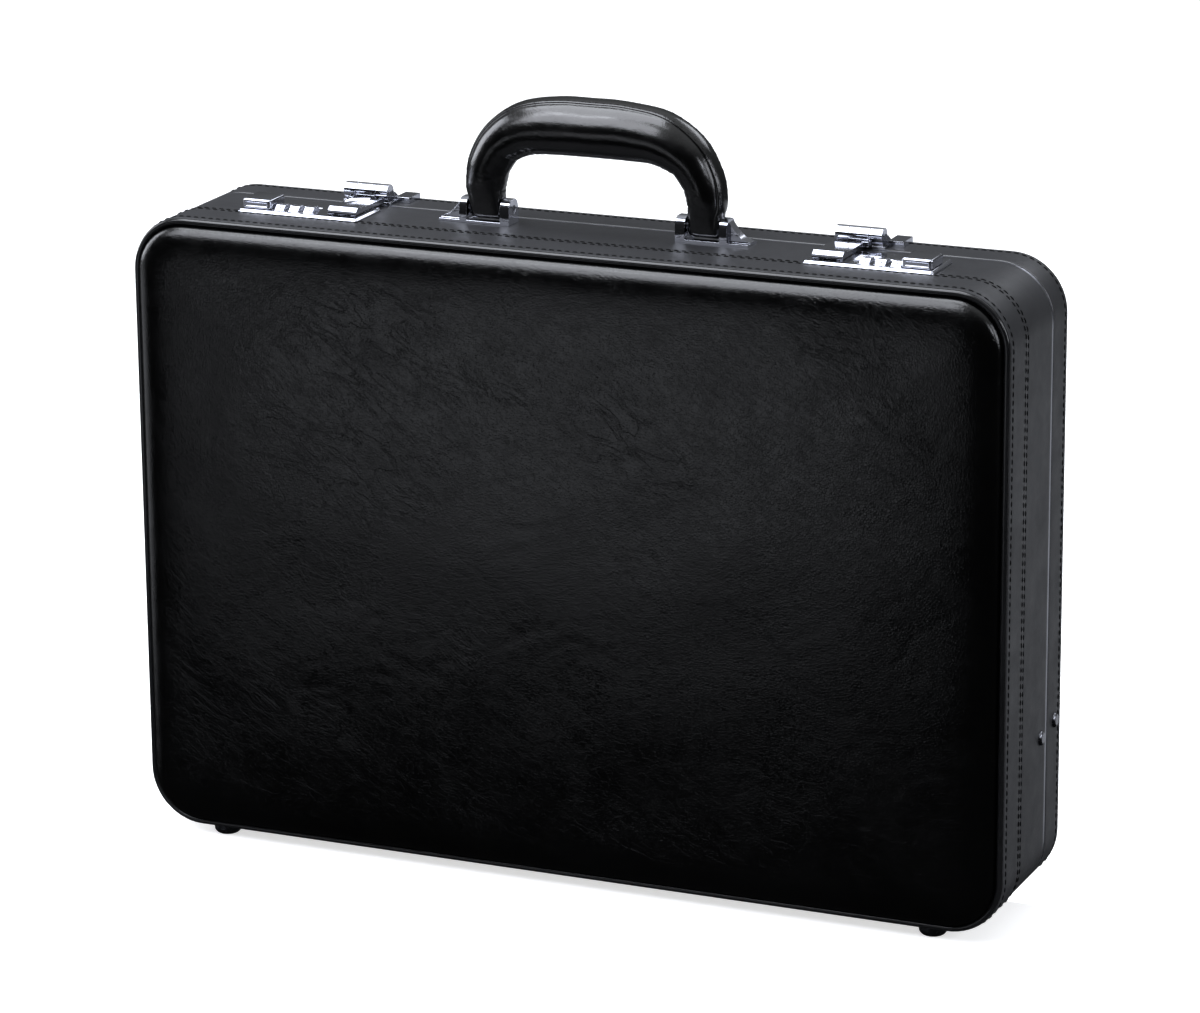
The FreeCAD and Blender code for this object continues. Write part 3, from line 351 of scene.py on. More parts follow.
def stitch_shape(length, radius, sides=6):
    """One stitch: (along, across, up) points and faces; its ends dip into the leather."""
    ends = [(-0.5, 0.0, -0.35), (-0.47, 0.6, -0.2), (-0.36, 0.95, 0.3), (-0.12, 1.0, 0.55),
            (0.12, 1.0, 0.55), (0.36, 0.95, 0.3), (0.47, 0.6, -0.2), (0.5, 0.0, -0.35)]
    points = []
    rings = []
    for along, thick, up in ends:
        if thick == 0.0:
            rings.append([len(points)])
            points.append((along * length, 0.0, up * radius))
            continue
        rings.append([len(points) + i for i in range(sides)])
        for i in range(sides):
            angle = 2 * math.pi * i / sides
            points.append((along * length, math.cos(angle) * thick * radius,
                           (math.sin(angle) * thick + up) * radius))
    faces = []
    for first, second in zip(rings, rings[1:]):
        if len(first) == 1:
            faces += [(first[0], second[i], second[(i + 1) % sides]) for i in range(sides)]
        elif len(second) == 1:
            faces += [(first[(i + 1) % sides], first[i], second[0]) for i in range(sides)]
        else:
            faces += [(first[(i + 1) % sides], first[i], second[i], second[(i + 1) % sides])
                      for i in range(sides)]
    return np.array(points), faces


def stitches(name, places, body, length=2.7 * MM, radius=0.31 * MM):
    """A row of stitches at places, each a point with the run's direction and the surface's normal."""
    shape, shape_faces = stitch_shape(length, radius)
    points, faces = [], []
    for spot, along, up in places:
        along = Vector(along).normalized()
        up = Vector(up).normalized()
        across = up.cross(along)
        lean = DICE.uniform(-0.05, 0.05)
        along = (along + across * lean).normalized()
        across = up.cross(along)
        basis = np.array([along, across, up])
        start = len(points)
        points += list(shape @ basis + np.array(spot))
        faces += [tuple(start + i for i in face) for face in shape_faces]
    return piece(name, points, faces, THREAD, body)


# ---------- the case's outline and side bands

side_low, side_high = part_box("side_leather_front")
CASE = Outline(side_high.x, side_low.z, side_high.z, 28 * MM)
RIM_FRONT = side_low.y
RIM_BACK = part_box("side_leather_lid")[1].y
PITCH = 4.1 * MM
EDGE_ROWS = 3.0 * MM
LAP_ROWS = 2.0 * MM
BAND_EDGE = side_high.y
BAND_TURN = 0.55 * MM


def band_relief(y, start, end, rows, lift):
    """How far the leather stands out at depth y: rounded edges and sunk stitch lines."""
    near = min(y - start, end - y)
    height = lift
    if near < BAND_TURN:
        height -= BAND_TURN - math.sqrt(max(BAND_TURN ** 2 - (BAND_TURN - near) ** 2, 0.0))
    for row in rows:
        height -= 0.16 * MM * math.exp(-((y - row) / (0.45 * MM)) ** 2)
    return height


def band_faces(along, depths, outer, inner, windows):
    """The strip's two skins, with walls at its edges and round its windows."""
    count = len(along)

    def kept(i, j):
        """Whether the cell after station i and depth j is leather, not a window."""
        if not 0 <= j < len(depths) - 1:
            return False
        (x, z), _ = CASE.at((along[i] + (along[i + 1] if i + 1 < count else CASE.length)) / 2)
        y = (depths[j] + depths[j + 1]) / 2
        return not any(z > CASE.high - MM and w[0] < x < w[1] and w[2] < y < w[3] for w in windows)

    faces = []
    for i in range(count):
        n = (i + 1) % count
        for j in range(len(depths) - 1):
            if not kept(i, j):
                continue
            faces.append((outer[i][j], outer[i][j + 1], outer[n][j + 1], outer[n][j]))
            faces.append((inner[i][j], inner[n][j], inner[n][j + 1], inner[i][j + 1]))
            if not kept(i, j - 1):
                faces.append((outer[i][j], outer[n][j], inner[n][j], inner[i][j]))
            if not kept(i, j + 1):
                faces.append((outer[n][j + 1], outer[i][j + 1], inner[i][j + 1], inner[n][j + 1]))
            if not kept(i - 1 if i else count - 1, j):
                faces.append((outer[i][j + 1], outer[i][j], inner[i][j], inner[i][j + 1]))
            if not kept(n, j):
                faces.append((outer[n][j], outer[n][j + 1], inner[n][j + 1], inner[n][j]))
    return faces


def band(name, node, body, rows, lift, windows=()):
    """A strip of edge leather round the case, with rounded edges, sunk stitch lines and lock windows."""
    low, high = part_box(node)
    start, end = low.y, high.y
    skin = 1.2 * MM
    stops = [start + BAND_TURN * share for share in (0.12, 0.4, 1.0)]
    stops += [end - BAND_TURN * share for share in (0.12, 0.4, 1.0)]
    for row in rows:
        stops += [row + away * MM for away in (-0.9, -0.4, 0.0, 0.4, 0.9)]
    for window in windows:
        stops += [window[2], window[3]]
    depths = steps_between(start, end, 3 * MM, stops)
    along = CASE.stations(3 * MM, [x for window in windows for x in window[:2]])
    outer, inner, points = [], [], []
    for distance in along:
        (x, z), (nx, nz) = CASE.at(distance)
        outer.append([])
        inner.append([])
        for y in depths:
            height = band_relief(y, start, end, rows, lift) + 0.07 * MM * soft_noise(x, y, z, 17 * MM)
            outer[-1].append(len(points))
            points.append((x + nx * height, y, z + nz * height))
            inner[-1].append(len(points))
            points.append((x - nx * skin, y, z - nz * skin))
    faces = band_faces(along, depths, outer, inner, windows)
    made = piece(name, points, faces, EDGE, body)
    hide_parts(node)
    return made


def edge_stitches(name, y, body, lift, shift=0.0, skips=()):
    """A stitch row round the case at depth y; skips are spans of x on the top or bottom left bare."""
    count = round(CASE.length / PITCH)
    places = []
    for index in range(count):
        (x, z), (nx, nz) = CASE.at((index + shift) * CASE.length / count)
        top = z > CASE.high - MM
        if any(low < x < high and top == on_top and abs(nz) > 0.99 for low, high, on_top in skips):
            continue
        here = (x + nx * lift, y, z + nz * lift)
        places.append((here, (nz, 0.0, -nx), (nx, 0.0, nz)))
    return stitches(name, places, body)


def case_sides():
    cases = [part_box("lock_case_" + side) for side in SIDES]
    clear = 0.2 * MM
    windows = [(low.x - clear, high.x + clear, low.y - clear, high.y + clear) for low, high in cases]
    proud = 0.35 * MM
    front_rows = [RIM_FRONT + EDGE_ROWS + 0.3 * MM, BAND_EDGE - LAP_ROWS]
    middle_rows = [BAND_EDGE + LAP_ROWS]
    lid_rows = [RIM_BACK - EDGE_ROWS]
    band("front_band_leather", "side_leather_front", "base", front_rows, proud)
    band("middle_band_leather", "side_leather_middle", "base", middle_rows, 0.0, windows)
    band("lid_band_leather", "side_leather_lid", "lid", lid_rows, 0.0)
    plates = [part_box("lock_plate_" + side) for side in SIDES]
    under_plates = [(low.x - MM, high.x + MM, True) for low, high in plates]
    edge_stitches("stitches_front_rim", front_rows[0], "base", proud - 0.05 * MM)
    edge_stitches("stitches_lap_front", front_rows[1], "base", proud - 0.05 * MM, 0.3)
    edge_stitches("stitches_lap_back", middle_rows[0], "base", -0.05 * MM, 0.6, under_plates)
    edge_stitches("stitches_lid_rim", lid_rows[0], "lid", -0.05 * MM)


def welt(name, node, body, outward):
    """The rolled leather bead between the side leather and the bulged panel, with a thin flap inwards
    that covers the board in the groove."""
    low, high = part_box(node)
    wide = 3.0 * MM
    tall = high.y - low.y
    foot = high.y if outward < 0 else low.y
    flap = 0.06 * MM
    section = [(0.0, 0.0), (-wide - MM, 0.0), (-wide - MM, flap), (-wide, flap)]
    arc = 12
    for index in range(1, arc):
        angle = math.pi * index / arc
        section.append((-wide / 2 * (1 + math.cos(angle)), tall * math.sin(angle) ** 0.8))
    rings = []
    points = []
    for distance in CASE.stations(3 * MM):
        (x, z), (nx, nz) = CASE.at(distance)
        rings.append([])
        for away, up in section:
            swell = 1 + 0.05 * soft_noise(x, 0, z, 9 * MM, seed=outward)
            rings[-1].append(len(points))
            points.append((x + nx * away, foot + outward * up * swell, z + nz * away))
    faces = []
    for index, ring in enumerate(rings):
        faces += quads_between(ring, rings[(index + 1) % len(rings)])
    made = piece(name, points, faces, WELT, body)
    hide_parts(node)
    return made


# ---------- bulged panels


PANEL_CORNER = 24.6 * MM
PANEL_RISES = ((3.2 * MM, 0.4 * MM), (3.4 * MM, 3.6 * MM), (1.2 * MM, 12 * MM), (1.4 * MM, 80 * MM))
PANEL_MARKS = (0.1, 0.25, 0.45, 0.7, 1.0, 1.5, 2.1, 2.8, 3.6, 4.5, 5.5, 6.6, 7.8)
PANEL_SKIN = 1.0 * MM


def panel_height(x, z, inside, seed):
    """How far the panel's leather stands out at (x, z), inside from its edge: a pillow with creases."""
    out = sum(rise * (1 - math.exp(-inside / reach)) for rise, reach in PANEL_RISES)
    calm = 1 - math.exp(-((inside / (16 * MM)) ** 2))
    turned = (x * 0.85 + z * 0.5, 0.0, (z * 0.85 - x * 0.5) * 2.2)
    fold = abs(soft_noise(*turned, 34 * MM, seed=3 + seed))
    crease = max(0.0, 1 - fold / 0.09)
    patch = max(0.0, soft_noise(x, 0, z, 80 * MM, seed=9 + seed) + 0.12)
    out -= 0.12 * MM * crease ** 2 * min(patch * 3, 1.0) * calm
    out += 0.30 * MM * soft_noise(x, 0, z, 45 * MM, seed=1) * calm
    return out + 0.04 * MM * soft_noise(x, 0, z, 6 * MM, seed=5)


class Pillow:
    """The surface of a bulged panel, inset from its edge and sunk below its leather by set amounts."""

    def __init__(self, low, high, outward, inset, sunk, step):
        self.low, self.high, self.outward, self.sunk = low, high, outward, sunk
        self.foot = high.y if outward < 0 else low.y
        self.wide = steps_between(-(high.x - PANEL_CORNER), high.x - PANEL_CORNER, step, [0.0])
        self.tall = steps_between(low.z + PANEL_CORNER, high.z - PANEL_CORNER, step)
        self.points, self.faces = [], []
        rows = [self.ring(inset, flat=True)]
        marks = [mark * MM for mark in PANEL_MARKS if mark * MM > inset]
        marks += steps_between(9 * MM, PANEL_CORNER, min(step, 4 * MM))[:-1]
        rows += [self.ring(mark) for mark in marks]
        for first, second in zip(rows, rows[1:]):
            self.faces += quads_between(first, second)
        self.edge = rows[0]
        self.middle(rows[-1])

    def add(self, x, z, inside, flat=False):
        out = 0.0
        if not flat:
            out = max(panel_height(x, z, inside, self.outward) - self.sunk, 0.05 * MM)
        self.points.append((x, self.foot + self.outward * out, z))
        return len(self.points) - 1

    def ring(self, inside, flat=False):
        """A ring of points that far inside the panel's edge."""
        corner, high, low = PANEL_CORNER, self.high, self.low
        flat_x, top_z, low_z = high.x - corner, high.z - corner, low.z + corner
        turns = [math.pi / 2 * k / 10 for k in range(1, 10)]
        spots = [(x, high.z, 0.0, 1.0) for x in self.wide if x > 1e-9]
        spots += [(flat_x + corner * math.sin(a), top_z + corner * math.cos(a), math.sin(a), math.cos(a))
                  for a in turns]
        spots += [(high.x, z, 1.0, 0.0) for z in reversed(self.tall)]
        spots += [(flat_x + corner * math.cos(a), low_z - corner * math.sin(a), math.cos(a), -math.sin(a))
                  for a in turns]
        spots += [(x, low.z, 0.0, -1.0) for x in reversed(self.wide)]
        spots += [(-flat_x - corner * math.sin(a), low_z - corner * math.cos(a), -math.sin(a), -math.cos(a))
                  for a in turns]
        spots += [(-high.x, z, -1.0, 0.0) for z in self.tall]
        spots += [(-flat_x - corner * math.cos(a), top_z + corner * math.sin(a), -math.cos(a), math.sin(a))
                  for a in turns]
        spots += [(x, high.z, 0.0, 1.0) for x in self.wide if x <= 1e-9]
        return [self.add(x - nx * inside, z - nz * inside, inside, flat) for x, z, nx, nz in spots]

    def middle(self, last):
        """The flat middle is a grid whose border follows the last ring's straight runs."""
        wide, tall, high, low = self.wide, self.tall, self.high, self.low
        grid = [[self.add(x, z, min(high.x - abs(x), z - low.z, high.z - z)) for z in tall] for x in wide]
        for a, b in zip(grid, grid[1:]):
            self.faces += quads_between(a, b, closed=False)
        border = [grid[i][-1] for i, x in enumerate(wide) if x > 1e-9]
        border += [grid[-1][-1]] * 9 + list(reversed(grid[-1])) + [grid[-1][0]] * 9
        border += [column[0] for column in reversed(grid)]
        border += [grid[0][0]] * 9 + list(grid[0]) + [grid[0][-1]] * 9
        border += [grid[i][-1] for i, x in enumerate(wide) if x <= 1e-9]
        self.faces += quads_between(last, border)


def panel(name, node, foam, body, outward):
    """A padded leather panel over its foam: rolled edge, gentle crown and shallow creases."""
    low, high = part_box(node)
    inset = 1.5 * MM
    outer = Pillow(low, high, outward, 0.0, 0.0, 2.2 * MM)
    inner = Pillow(low, high, outward, inset, PANEL_SKIN, 9 * MM)
    shift = len(outer.points)
    faces = outer.faces + [tuple(shift + i for i in face) for face in inner.faces]
    faces += quads_between(outer.edge, outer_to_inner(outer, inner, shift))
    made = piece(name, outer.points + inner.points, faces, PANEL, body)
    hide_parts(node)
    pad = Pillow(low, high, outward, inset + 0.1 * MM, PANEL_SKIN + 0.1 * MM, 9 * MM)
    stuffing = piece(foam + "_pad", pad.points, pad.faces + [tuple(pad.edge)], FOAM, body)
    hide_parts(foam)


def outer_to_inner(outer, inner, shift):
    """For each point of the outer foot ring, the nearest point of the coarser inner one."""
    rim = np.array([inner.points[i] for i in inner.edge])
    return [shift + inner.edge[int(np.argmin(((rim - np.array(outer.points[i])) ** 2).sum(axis=1)))]
            for i in outer.edge]


# ---------- handle


def smooth_rows(rows, steps):
    """Rows of numbers joined by a smooth curve through every row."""
    rows = np.array(rows, float)
    ends = np.vstack([2 * rows[0] - rows[1], rows, 2 * rows[-1] - rows[-2]])
    found = []
    for index in range(len(rows) - 1):
        a, b, c, d = ends[index:index + 4]
        for t in np.arange(steps) / steps:
            found.append(0.5 * (2 * b + (c - a) * t + (2 * a - 5 * b + 4 * c - d) * t ** 2
                                + (3 * b - a - 3 * c + d) * t ** 3))
    return np.array(found + [rows[-1]])


def evenly(rows, step):
    """The same curve at even distances of about step, by its first two columns."""
    gaps = np.linalg.norm(np.diff(rows[:, :2], axis=0), axis=1)
    along = np.concatenate([[0], np.cumsum(gaps)])
    count = round(along[-1] / step)
    marks = np.linspace(0, along[-1], count + 1)
    columns = [np.interp(marks, along, rows[:, k]) for k in range(rows.shape[1])]
    return np.array(columns).T, marks


CASE_TOP = CASE.high
# half of the handle from its end between the ears to the middle of the grip, in millimetres:
# x, rise above the case, half width across the arch, half depth, squareness of the section
HANDLE_ROWS = [
    (58.0, 2.0, 7.0, 0.8, 3.0), (58.0, 2.7, 8.0, 3.2, 3.2), (58.0, 4.6, 8.4, 5.0, 3.4),
    (58.0, 9.0, 8.5, 5.9, 3.2), (58.0, 14.6, 8.8, 7.2, 2.8), (58.3, 18.0, 9.6, 8.6, 2.3),
    (58.0, 22.5, 10.0, 9.7, 2.1), (55.8, 31.0, 10.6, 10.8, 2.0), (48.6, 41.4, 11.6, 12.2, 2.0),
    (35.2, 48.8, 13.2, 13.4, 2.0), (18.5, 51.0, 14.1, 14.1, 2.0), (0.0, 51.4, 14.3, 14.3, 2.0),
]


class Grip:
    """The padded grip, worked out in millimetres at stations along the arch. An angle runs round each
    station's section, from the arch's outside."""

    spine = 6.2

    def __init__(self):
        half = [list(row) for row in HANDLE_ROWS]
        rows = half + [[-row[0], *row[1:]] for row in reversed(half[:-1])]
        self.line, self.marks = evenly(smooth_rows(rows, 16), 1.25)
        low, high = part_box("handle_bracket_left")
        self.middle_y = (low.y + high.y) / 2
        tangents = np.gradient(self.line[:, :2], axis=0)
        tangents /= np.linalg.norm(tangents, axis=1)[:, None]
        self.outward = np.array([tangents[:, 1], -tangents[:, 0]]).T
        bend = np.abs(np.gradient(np.unwrap(np.arctan2(tangents[:, 1], tangents[:, 0])), self.marks))
        self.bend = np.convolve(bend, np.ones(9) / 9, mode="same") * 30

    def radius(self, index):
        return (self.line[index][2] + self.line[index][3]) / 2

    def angles(self, index, around=44):
        """Close together over the spine and its edges, wider over the rest."""
        strip = [0.0, 1.6, 3.2, 4.2, 4.9, 5.5, 5.9, 6.15, 6.3, 6.6, 7.2]
        strip = [-w for w in reversed(strip[1:])] + strip
        found = [w / self.radius(index) for w in strip]
        gap = 2 * math.pi - (found[-1] - found[0])
        return found + [found[-1] + gap * k / around for k in range(1, around)]

    def surface(self, index, angle, lift=0.0):
        """The leather's point in metres: section, raised spine, its edge's valley, folds and swells."""
        x, rise, across, deep, power = self.line[index]
        outward, mark = self.outward[index], self.marks[index]
        show = min(max((min(mark, self.marks[-1] - mark) - 5.0) / 4.0, 0.0), 1.0)
        c, s = math.cos(angle), math.sin(angle)
        size = (abs(c) ** power + abs(s) ** power) ** (-1 / power)
        turned = abs(angle) if angle < math.pi else 2 * math.pi - angle
        width = turned * self.radius(index)
        raised = 0.55 * show * min(max((self.spine + 0.15 - width) / 0.3, 0.0), 1.0)
        valley = -0.25 * show * math.exp(-((width - self.spine - 0.5) / 0.5) ** 2)
        inner = max(0.0, -c) ** 1.5
        x_far = x + outward[0] * c * across
        z_far = rise + outward[1] * c * across
        ripple = abs(soft_noise(mark, angle * 2.2, x * 0.02, 4.2))
        fold = -0.5 * inner * min(self.bend[index], 1.3) * max(0.0, 1 - ripple / 0.16)
        swell = 0.30 * soft_noise(x_far, s * deep, z_far, 16.0, seed=2) * show
        fine = 0.04 * soft_noise(x_far, s * deep, z_far, 3.5, seed=6) * show
        extra = raised + valley + fold * show + swell + fine + lift
        out = c * size * across + c * extra
        side = s * size * deep + s * extra
        return (MM * (x + outward[0] * out), self.middle_y + MM * side,
                CASE_TOP + MM * (rise + outward[1] * out))


def handle():
    """The padded grip: one leather tube along the arch with a stitched spine along its outside."""
    grip = Grip()
    points, rings = [], []
    for index in range(len(grip.line)):
        angles = grip.angles(index)
        rings.append([len(points) + k for k in range(len(angles))])
        points += [grip.surface(index, angle) for angle in angles]
    faces = []
    for first, second in zip(rings, rings[1:]):
        faces += quads_between(first, second)
    faces.append(tuple(rings[0]))
    faces.append(tuple(rings[-1]))
    made = piece("handle_leather_grip", points, faces, HANDLE, "handle")
    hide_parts("handle_grip", "handle_end_left", "handle_end_right")
    handle_stitches(grip, "front", -1)
    handle_stitches(grip, "back", 1)


def handle_stitches(grip, side, way):
    """A row of stitches just inside one edge of the spine, sunk a little into the leather."""
    from_spine, sunk, pitch, bare = 5.0, -0.2, 3.6, 11.0
    marks = grip.marks
    turns = [way * from_spine / grip.radius(index) for index in range(len(marks))]
    row = np.array([grip.surface(index, turn, sunk) for index, turn in enumerate(turns)])
    places = []
    for mark in np.arange(bare, marks[-1] - bare, pitch):
        here = [np.interp(mark, marks, row[:, k]) for k in range(3)]
        near = min(int(np.searchsorted(marks, mark)), len(marks) - 2)
        run = row[near + 1] - row[near - 1]
        c, s = math.cos(turns[near]), math.sin(turns[near])
        up = (grip.outward[near][0] * c, s, grip.outward[near][1] * c)
        places.append((here, run, up))
    stitches("handle_stitches_" + side, places, "handle", 2.2 * MM, 0.22 * MM)


# ---------- number wheels


def digits(side, number):
    """The figures 0 to 9 on the ten flats of one wheel."""
    node = f"dial_{side}_{number}"
    low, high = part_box(node)
    centre = (low + high) / 2
    flat = (high.z - low.z) / 2
    tall = 3.0 * MM
    points, faces = [], []
    for figure in range(10):
        text = bpy.data.curves.new("figure", "FONT")
        text.body = str(figure)
        text.size = tall / 0.7
        text.extrude = 0.05 * MM
        text.offset = 0.04 * MM
        text.align_x = "CENTER"
        text.align_y = "CENTER"
        text.resolution_u = 3
        holder = bpy.data.objects.new("figure", text)
        mesh = bpy.data.meshes.new_from_object(holder)
        turn = Matrix.Rotation(-figure * math.pi / 5, 4, "X")
        shift = Matrix.Translation(centre) @ turn @ Matrix.Translation((0, 0, flat))
        start = len(points)
        points += [shift @ vertex.co for vertex in mesh.vertices]
        faces += [tuple(start + i for i in face.vertices) for face in mesh.polygons]
        bpy.data.objects.remove(holder)
        bpy.data.curves.remove(text)
        bpy.data.meshes.remove(mesh)
    return piece("figures_" + node, points, faces, INK, node, smooth=False)


# ---------- document pocket


POCKET_LOW, POCKET_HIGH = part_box("document_pocket")
POCKET_HALF = POCKET_HIGH.x
POCKET_CLOTH = 0.9 * MM
POCKET_REST = POCKET_HIGH.y - 1.6 * MM
HEM_Z = POCKET_HIGH.z - 5.5 * MM


def pocket_depth(x, z):
    """Depth in Y of the cloth's outer side: slack between the seams, gathers towards the hem, folds."""
    side = min(POCKET_HALF - abs(x), abs(x)) / (POCKET_HALF / 2)
    rise = (z - POCKET_LOW.z) / (POCKET_HIGH.z - POCKET_LOW.z)
    slack = 2.6 * MM * min(side * 1.6, 1.0) ** 0.8 * min(rise * 2.5, 1.0) ** 0.8
    gather = 0.55 * MM * math.sin(2 * math.pi * (x + 3 * MM * soft_noise(x, 0, 0, 30 * MM)) / (8 * MM))
    gather *= rise ** 3 * min(side * 5, 1.0)
    folds = 0.9 * MM * soft_noise(x * 2.0, 0, z * 0.6, 50 * MM, seed=4) * min(side * 3, 1.0)
    return POCKET_REST - slack - gather - folds


def pocket_cloth(across):
    """The cloth as a thin closed sheet."""
    up = steps_between(POCKET_LOW.z, POCKET_HIGH.z, 3.5 * MM)
    points = [(x, pocket_depth(x, z), z) for x in across for z in up]
    points += [(x, y + POCKET_CLOTH, z) for x, y, z in points]
    count, rows = len(up), len(across)
    back = count * rows
    faces = []
    for i in range(rows - 1):
        for j in range(count - 1):
            a, b, c, d = i * count + j, (i + 1) * count + j, (i + 1) * count + j + 1, i * count + j + 1
            faces += [(a, b, c, d), (back + a, back + d, back + c, back + b)]
    for i in range(rows - 1):
        for j in (0, count - 1):
            a, b = i * count + j, (i + 1) * count + j
            faces.append((a, b, back + b, back + a))
    for j in range(count - 1):
        for i in (0, rows - 1):
            a, b = i * count + j, i * count + j + 1
            faces.append((a, b, back + b, back + a))
    cloth = piece("pocket_cloth", points, faces, LINING, "lid")
    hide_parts("document_pocket")
    return cloth


def pocket_strip(name, path, wide, tall):
    """A rounded leather band along a path of (x, y, z, outward x, outward z)."""
    sides = 14
    dots, rings = [], []
    for x, y, z, nx, nz in path:
        rings.append([len(dots) + k for k in range(sides)])
        for k in range(sides):
            angle = 2 * math.pi * k / sides
            c, s = math.cos(angle), math.sin(angle)
            out = wide / 2 * math.copysign(abs(c) ** 0.5, c)
            dots.append((x + nx * out, y - tall / 2 * math.copysign(abs(s) ** 0.8, s), z + nz * out))
    skins = [face for a, b in zip(rings, rings[1:]) for face in quads_between(a, b)]
    return piece(name, dots, skins + [tuple(rings[0]), tuple(rings[-1])], EDGE, "lid")


def piping_path():
    """Down one side of the pocket, round its lower corners and up the other side."""
    corner = 6 * MM
    low, high, edge_y = POCKET_LOW, POCKET_HIGH, POCKET_REST + POCKET_CLOTH / 2
    walk = [(low.x, z, -1.0, 0.0) for z in reversed(steps_between(low.z + corner, high.z, 3 * MM))]
    for k in range(1, 8):
        a = math.pi / 2 * k / 8
        walk.append((low.x + corner * (1 - math.cos(a)), low.z + corner * (1 - math.sin(a)),
                     -math.cos(a), -math.sin(a)))
    walk += [(x, low.z, 0.0, -1.0) for x in steps_between(low.x + corner, 0.0, 3 * MM)]
    walk += [(-x, z, -nx, nz) for x, z, nx, nz in reversed(walk[:-1])]
    return [(x, edge_y, z, nx, nz) for x, z, nx, nz in walk]


def pocket_seams():
    """Stitches up the sides and the middle, along the bottom and along both edges of the hem."""
    half, low = POCKET_HALF, POCKET_LOW
    facing = (0, -1, 0)
    spots = []
    for z in np.arange(low.z + 6 * MM, HEM_Z - 8 * MM, PITCH):
        for x in (-half + 4 * MM, 0.0, half - 4 * MM):
            spots.append(((x, pocket_depth(x, z), z), (0, 0, 1), facing))
    for x in np.arange(-half + 6 * MM, half - 5 * MM, PITCH):
        spots.append(((x, pocket_depth(x, low.z + 4 * MM), low.z + 4 * MM), (1, 0, 0), facing))
        for z in (HEM_Z - 4 * MM, HEM_Z + 4 * MM):
            spots.append(((x, pocket_depth(x, HEM_Z) - 0.45 * MM, z), (1, 0, 0), facing))
    return stitches("pocket_stitches", spots, "lid")


def pocket():
    """The lid's cloth pocket: slack between its seams, gathered under a stitched hem, with piping."""
    across = steps_between(POCKET_LOW.x, POCKET_HIGH.x, 1.5 * MM, [0.0])
    cloth = pocket_cloth(across)
    middle = POCKET_CLOTH / 2
    hem_path = [(x, pocket_depth(x, HEM_Z) + middle, HEM_Z, 0.0, 1.0) for x in across]
    hem = pocket_strip("pocket_hem", hem_path, 12 * MM, 2.0 * MM)
    piping = pocket_strip("pocket_piping", piping_path(), 3.0 * MM, 2.6 * MM)
    seams = pocket_seams()


# ---------- finishes of the CAD nodes

FINISHES = {
    "base_shell": BOARD, "lid_shell": BOARD, "base_frame": TRIM, "lid_frame": TRIM,
    "base_lining": LINING, "lid_lining": LINING,
    "base_feet": DARK_METAL, "lid_feet": DARK_METAL, "hinge_pins": STEEL, "hasp_pins": CHROME,
    "handle_pins": STEEL, "bracket_screws": STEEL, "stay_rivets_base": DARK_METAL,
    "stay_rivets_lid": DARK_METAL, "stay_elbows": STEEL,
}
BEVELS = {
    "lock_plate": 0.6, "lock_button": 0.4, "hasp_left": 0.35, "hasp_right": 0.35, "hasp_mount": 0.35,
    "handle_bracket": 0.4, "hinge_": 0.15, "stay_": 0.2, "dial_left": 0.2, "dial_right": 0.2,
}


def clean_shading():
    """Modifier nodes that join a CAD mesh's split corners and shade its curves smooth, its edges sharp."""
    group = bpy.data.node_groups.new("clean_shading", "GeometryNodeTree")
    group.interface.new_socket("Geometry", in_out="INPUT", socket_type="NodeSocketGeometry")
    group.interface.new_socket("Geometry", in_out="OUTPUT", socket_type="NodeSocketGeometry")
    start = group.nodes.new("NodeGroupInput")
    end = group.nodes.new("NodeGroupOutput")
    merge = group.nodes.new("GeometryNodeMergeByDistance")
    merge.inputs["Distance"].default_value = 0.002 * MM
    drop = group.nodes.new("GeometryNodeRemoveAttribute")
    drop.inputs["Name"].default_value = "custom_normal"
    faces = group.nodes.new("GeometryNodeSetShadeSmooth")
    edges = group.nodes.new("GeometryNodeSetShadeSmooth")
    edges.domain = "EDGE"
    bend = group.nodes.new("GeometryNodeInputMeshEdgeAngle")
    sharp = group.nodes.new("FunctionNodeCompare")
    sharp.operation = "GREATER_THAN"
    sharp.inputs[1].default_value = math.radians(28)
    group.links.new(bend.outputs[0], sharp.inputs[0])
    group.links.new(sharp.outputs[0], edges.inputs["Selection"])
    edges.inputs["Shade Smooth"].default_value = False
    for first, second in ((start, merge), (merge, drop), (drop, faces), (faces, edges), (edges, end)):
        group.links.new(first.outputs[0], second.inputs[0])
    return group


def finish_nodes():
    """Every carried-over CAD node gets its finish, and the hardware gets its edges eased."""
    shading = clean_shading()
    for name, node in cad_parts.items():
        chosen = FINISHES.get(name)
        if chosen is None:
            if name.startswith(("dial_left", "dial_right")):
                chosen = DIAL
            elif name.startswith(("lock_case", "dial_shaft", "handle_backing", "stay_")):
                chosen = STEEL
            else:
                chosen = CHROME
        node.data.materials.clear()
        node.data.materials.append(chosen)
        for start, size in BEVELS.items():
            if name.startswith(start) and not node.hide_render:
                clean = node.modifiers.new("clean", "NODES")
                clean.node_group = shading
                flats = node.modifiers.new("flats", "DECIMATE")
                flats.decimate_type = "DISSOLVE"
                flats.angle_limit = math.radians(0.5)
                bevel = node.modifiers.new("bevel", "BEVEL")
                bevel.width = size * MM
                bevel.segments = 3
                bevel.limit_method = "ANGLE"
                bevel.angle_limit = math.radians(30)
                bevel.harden_normals = True
                break


# ---------- studio


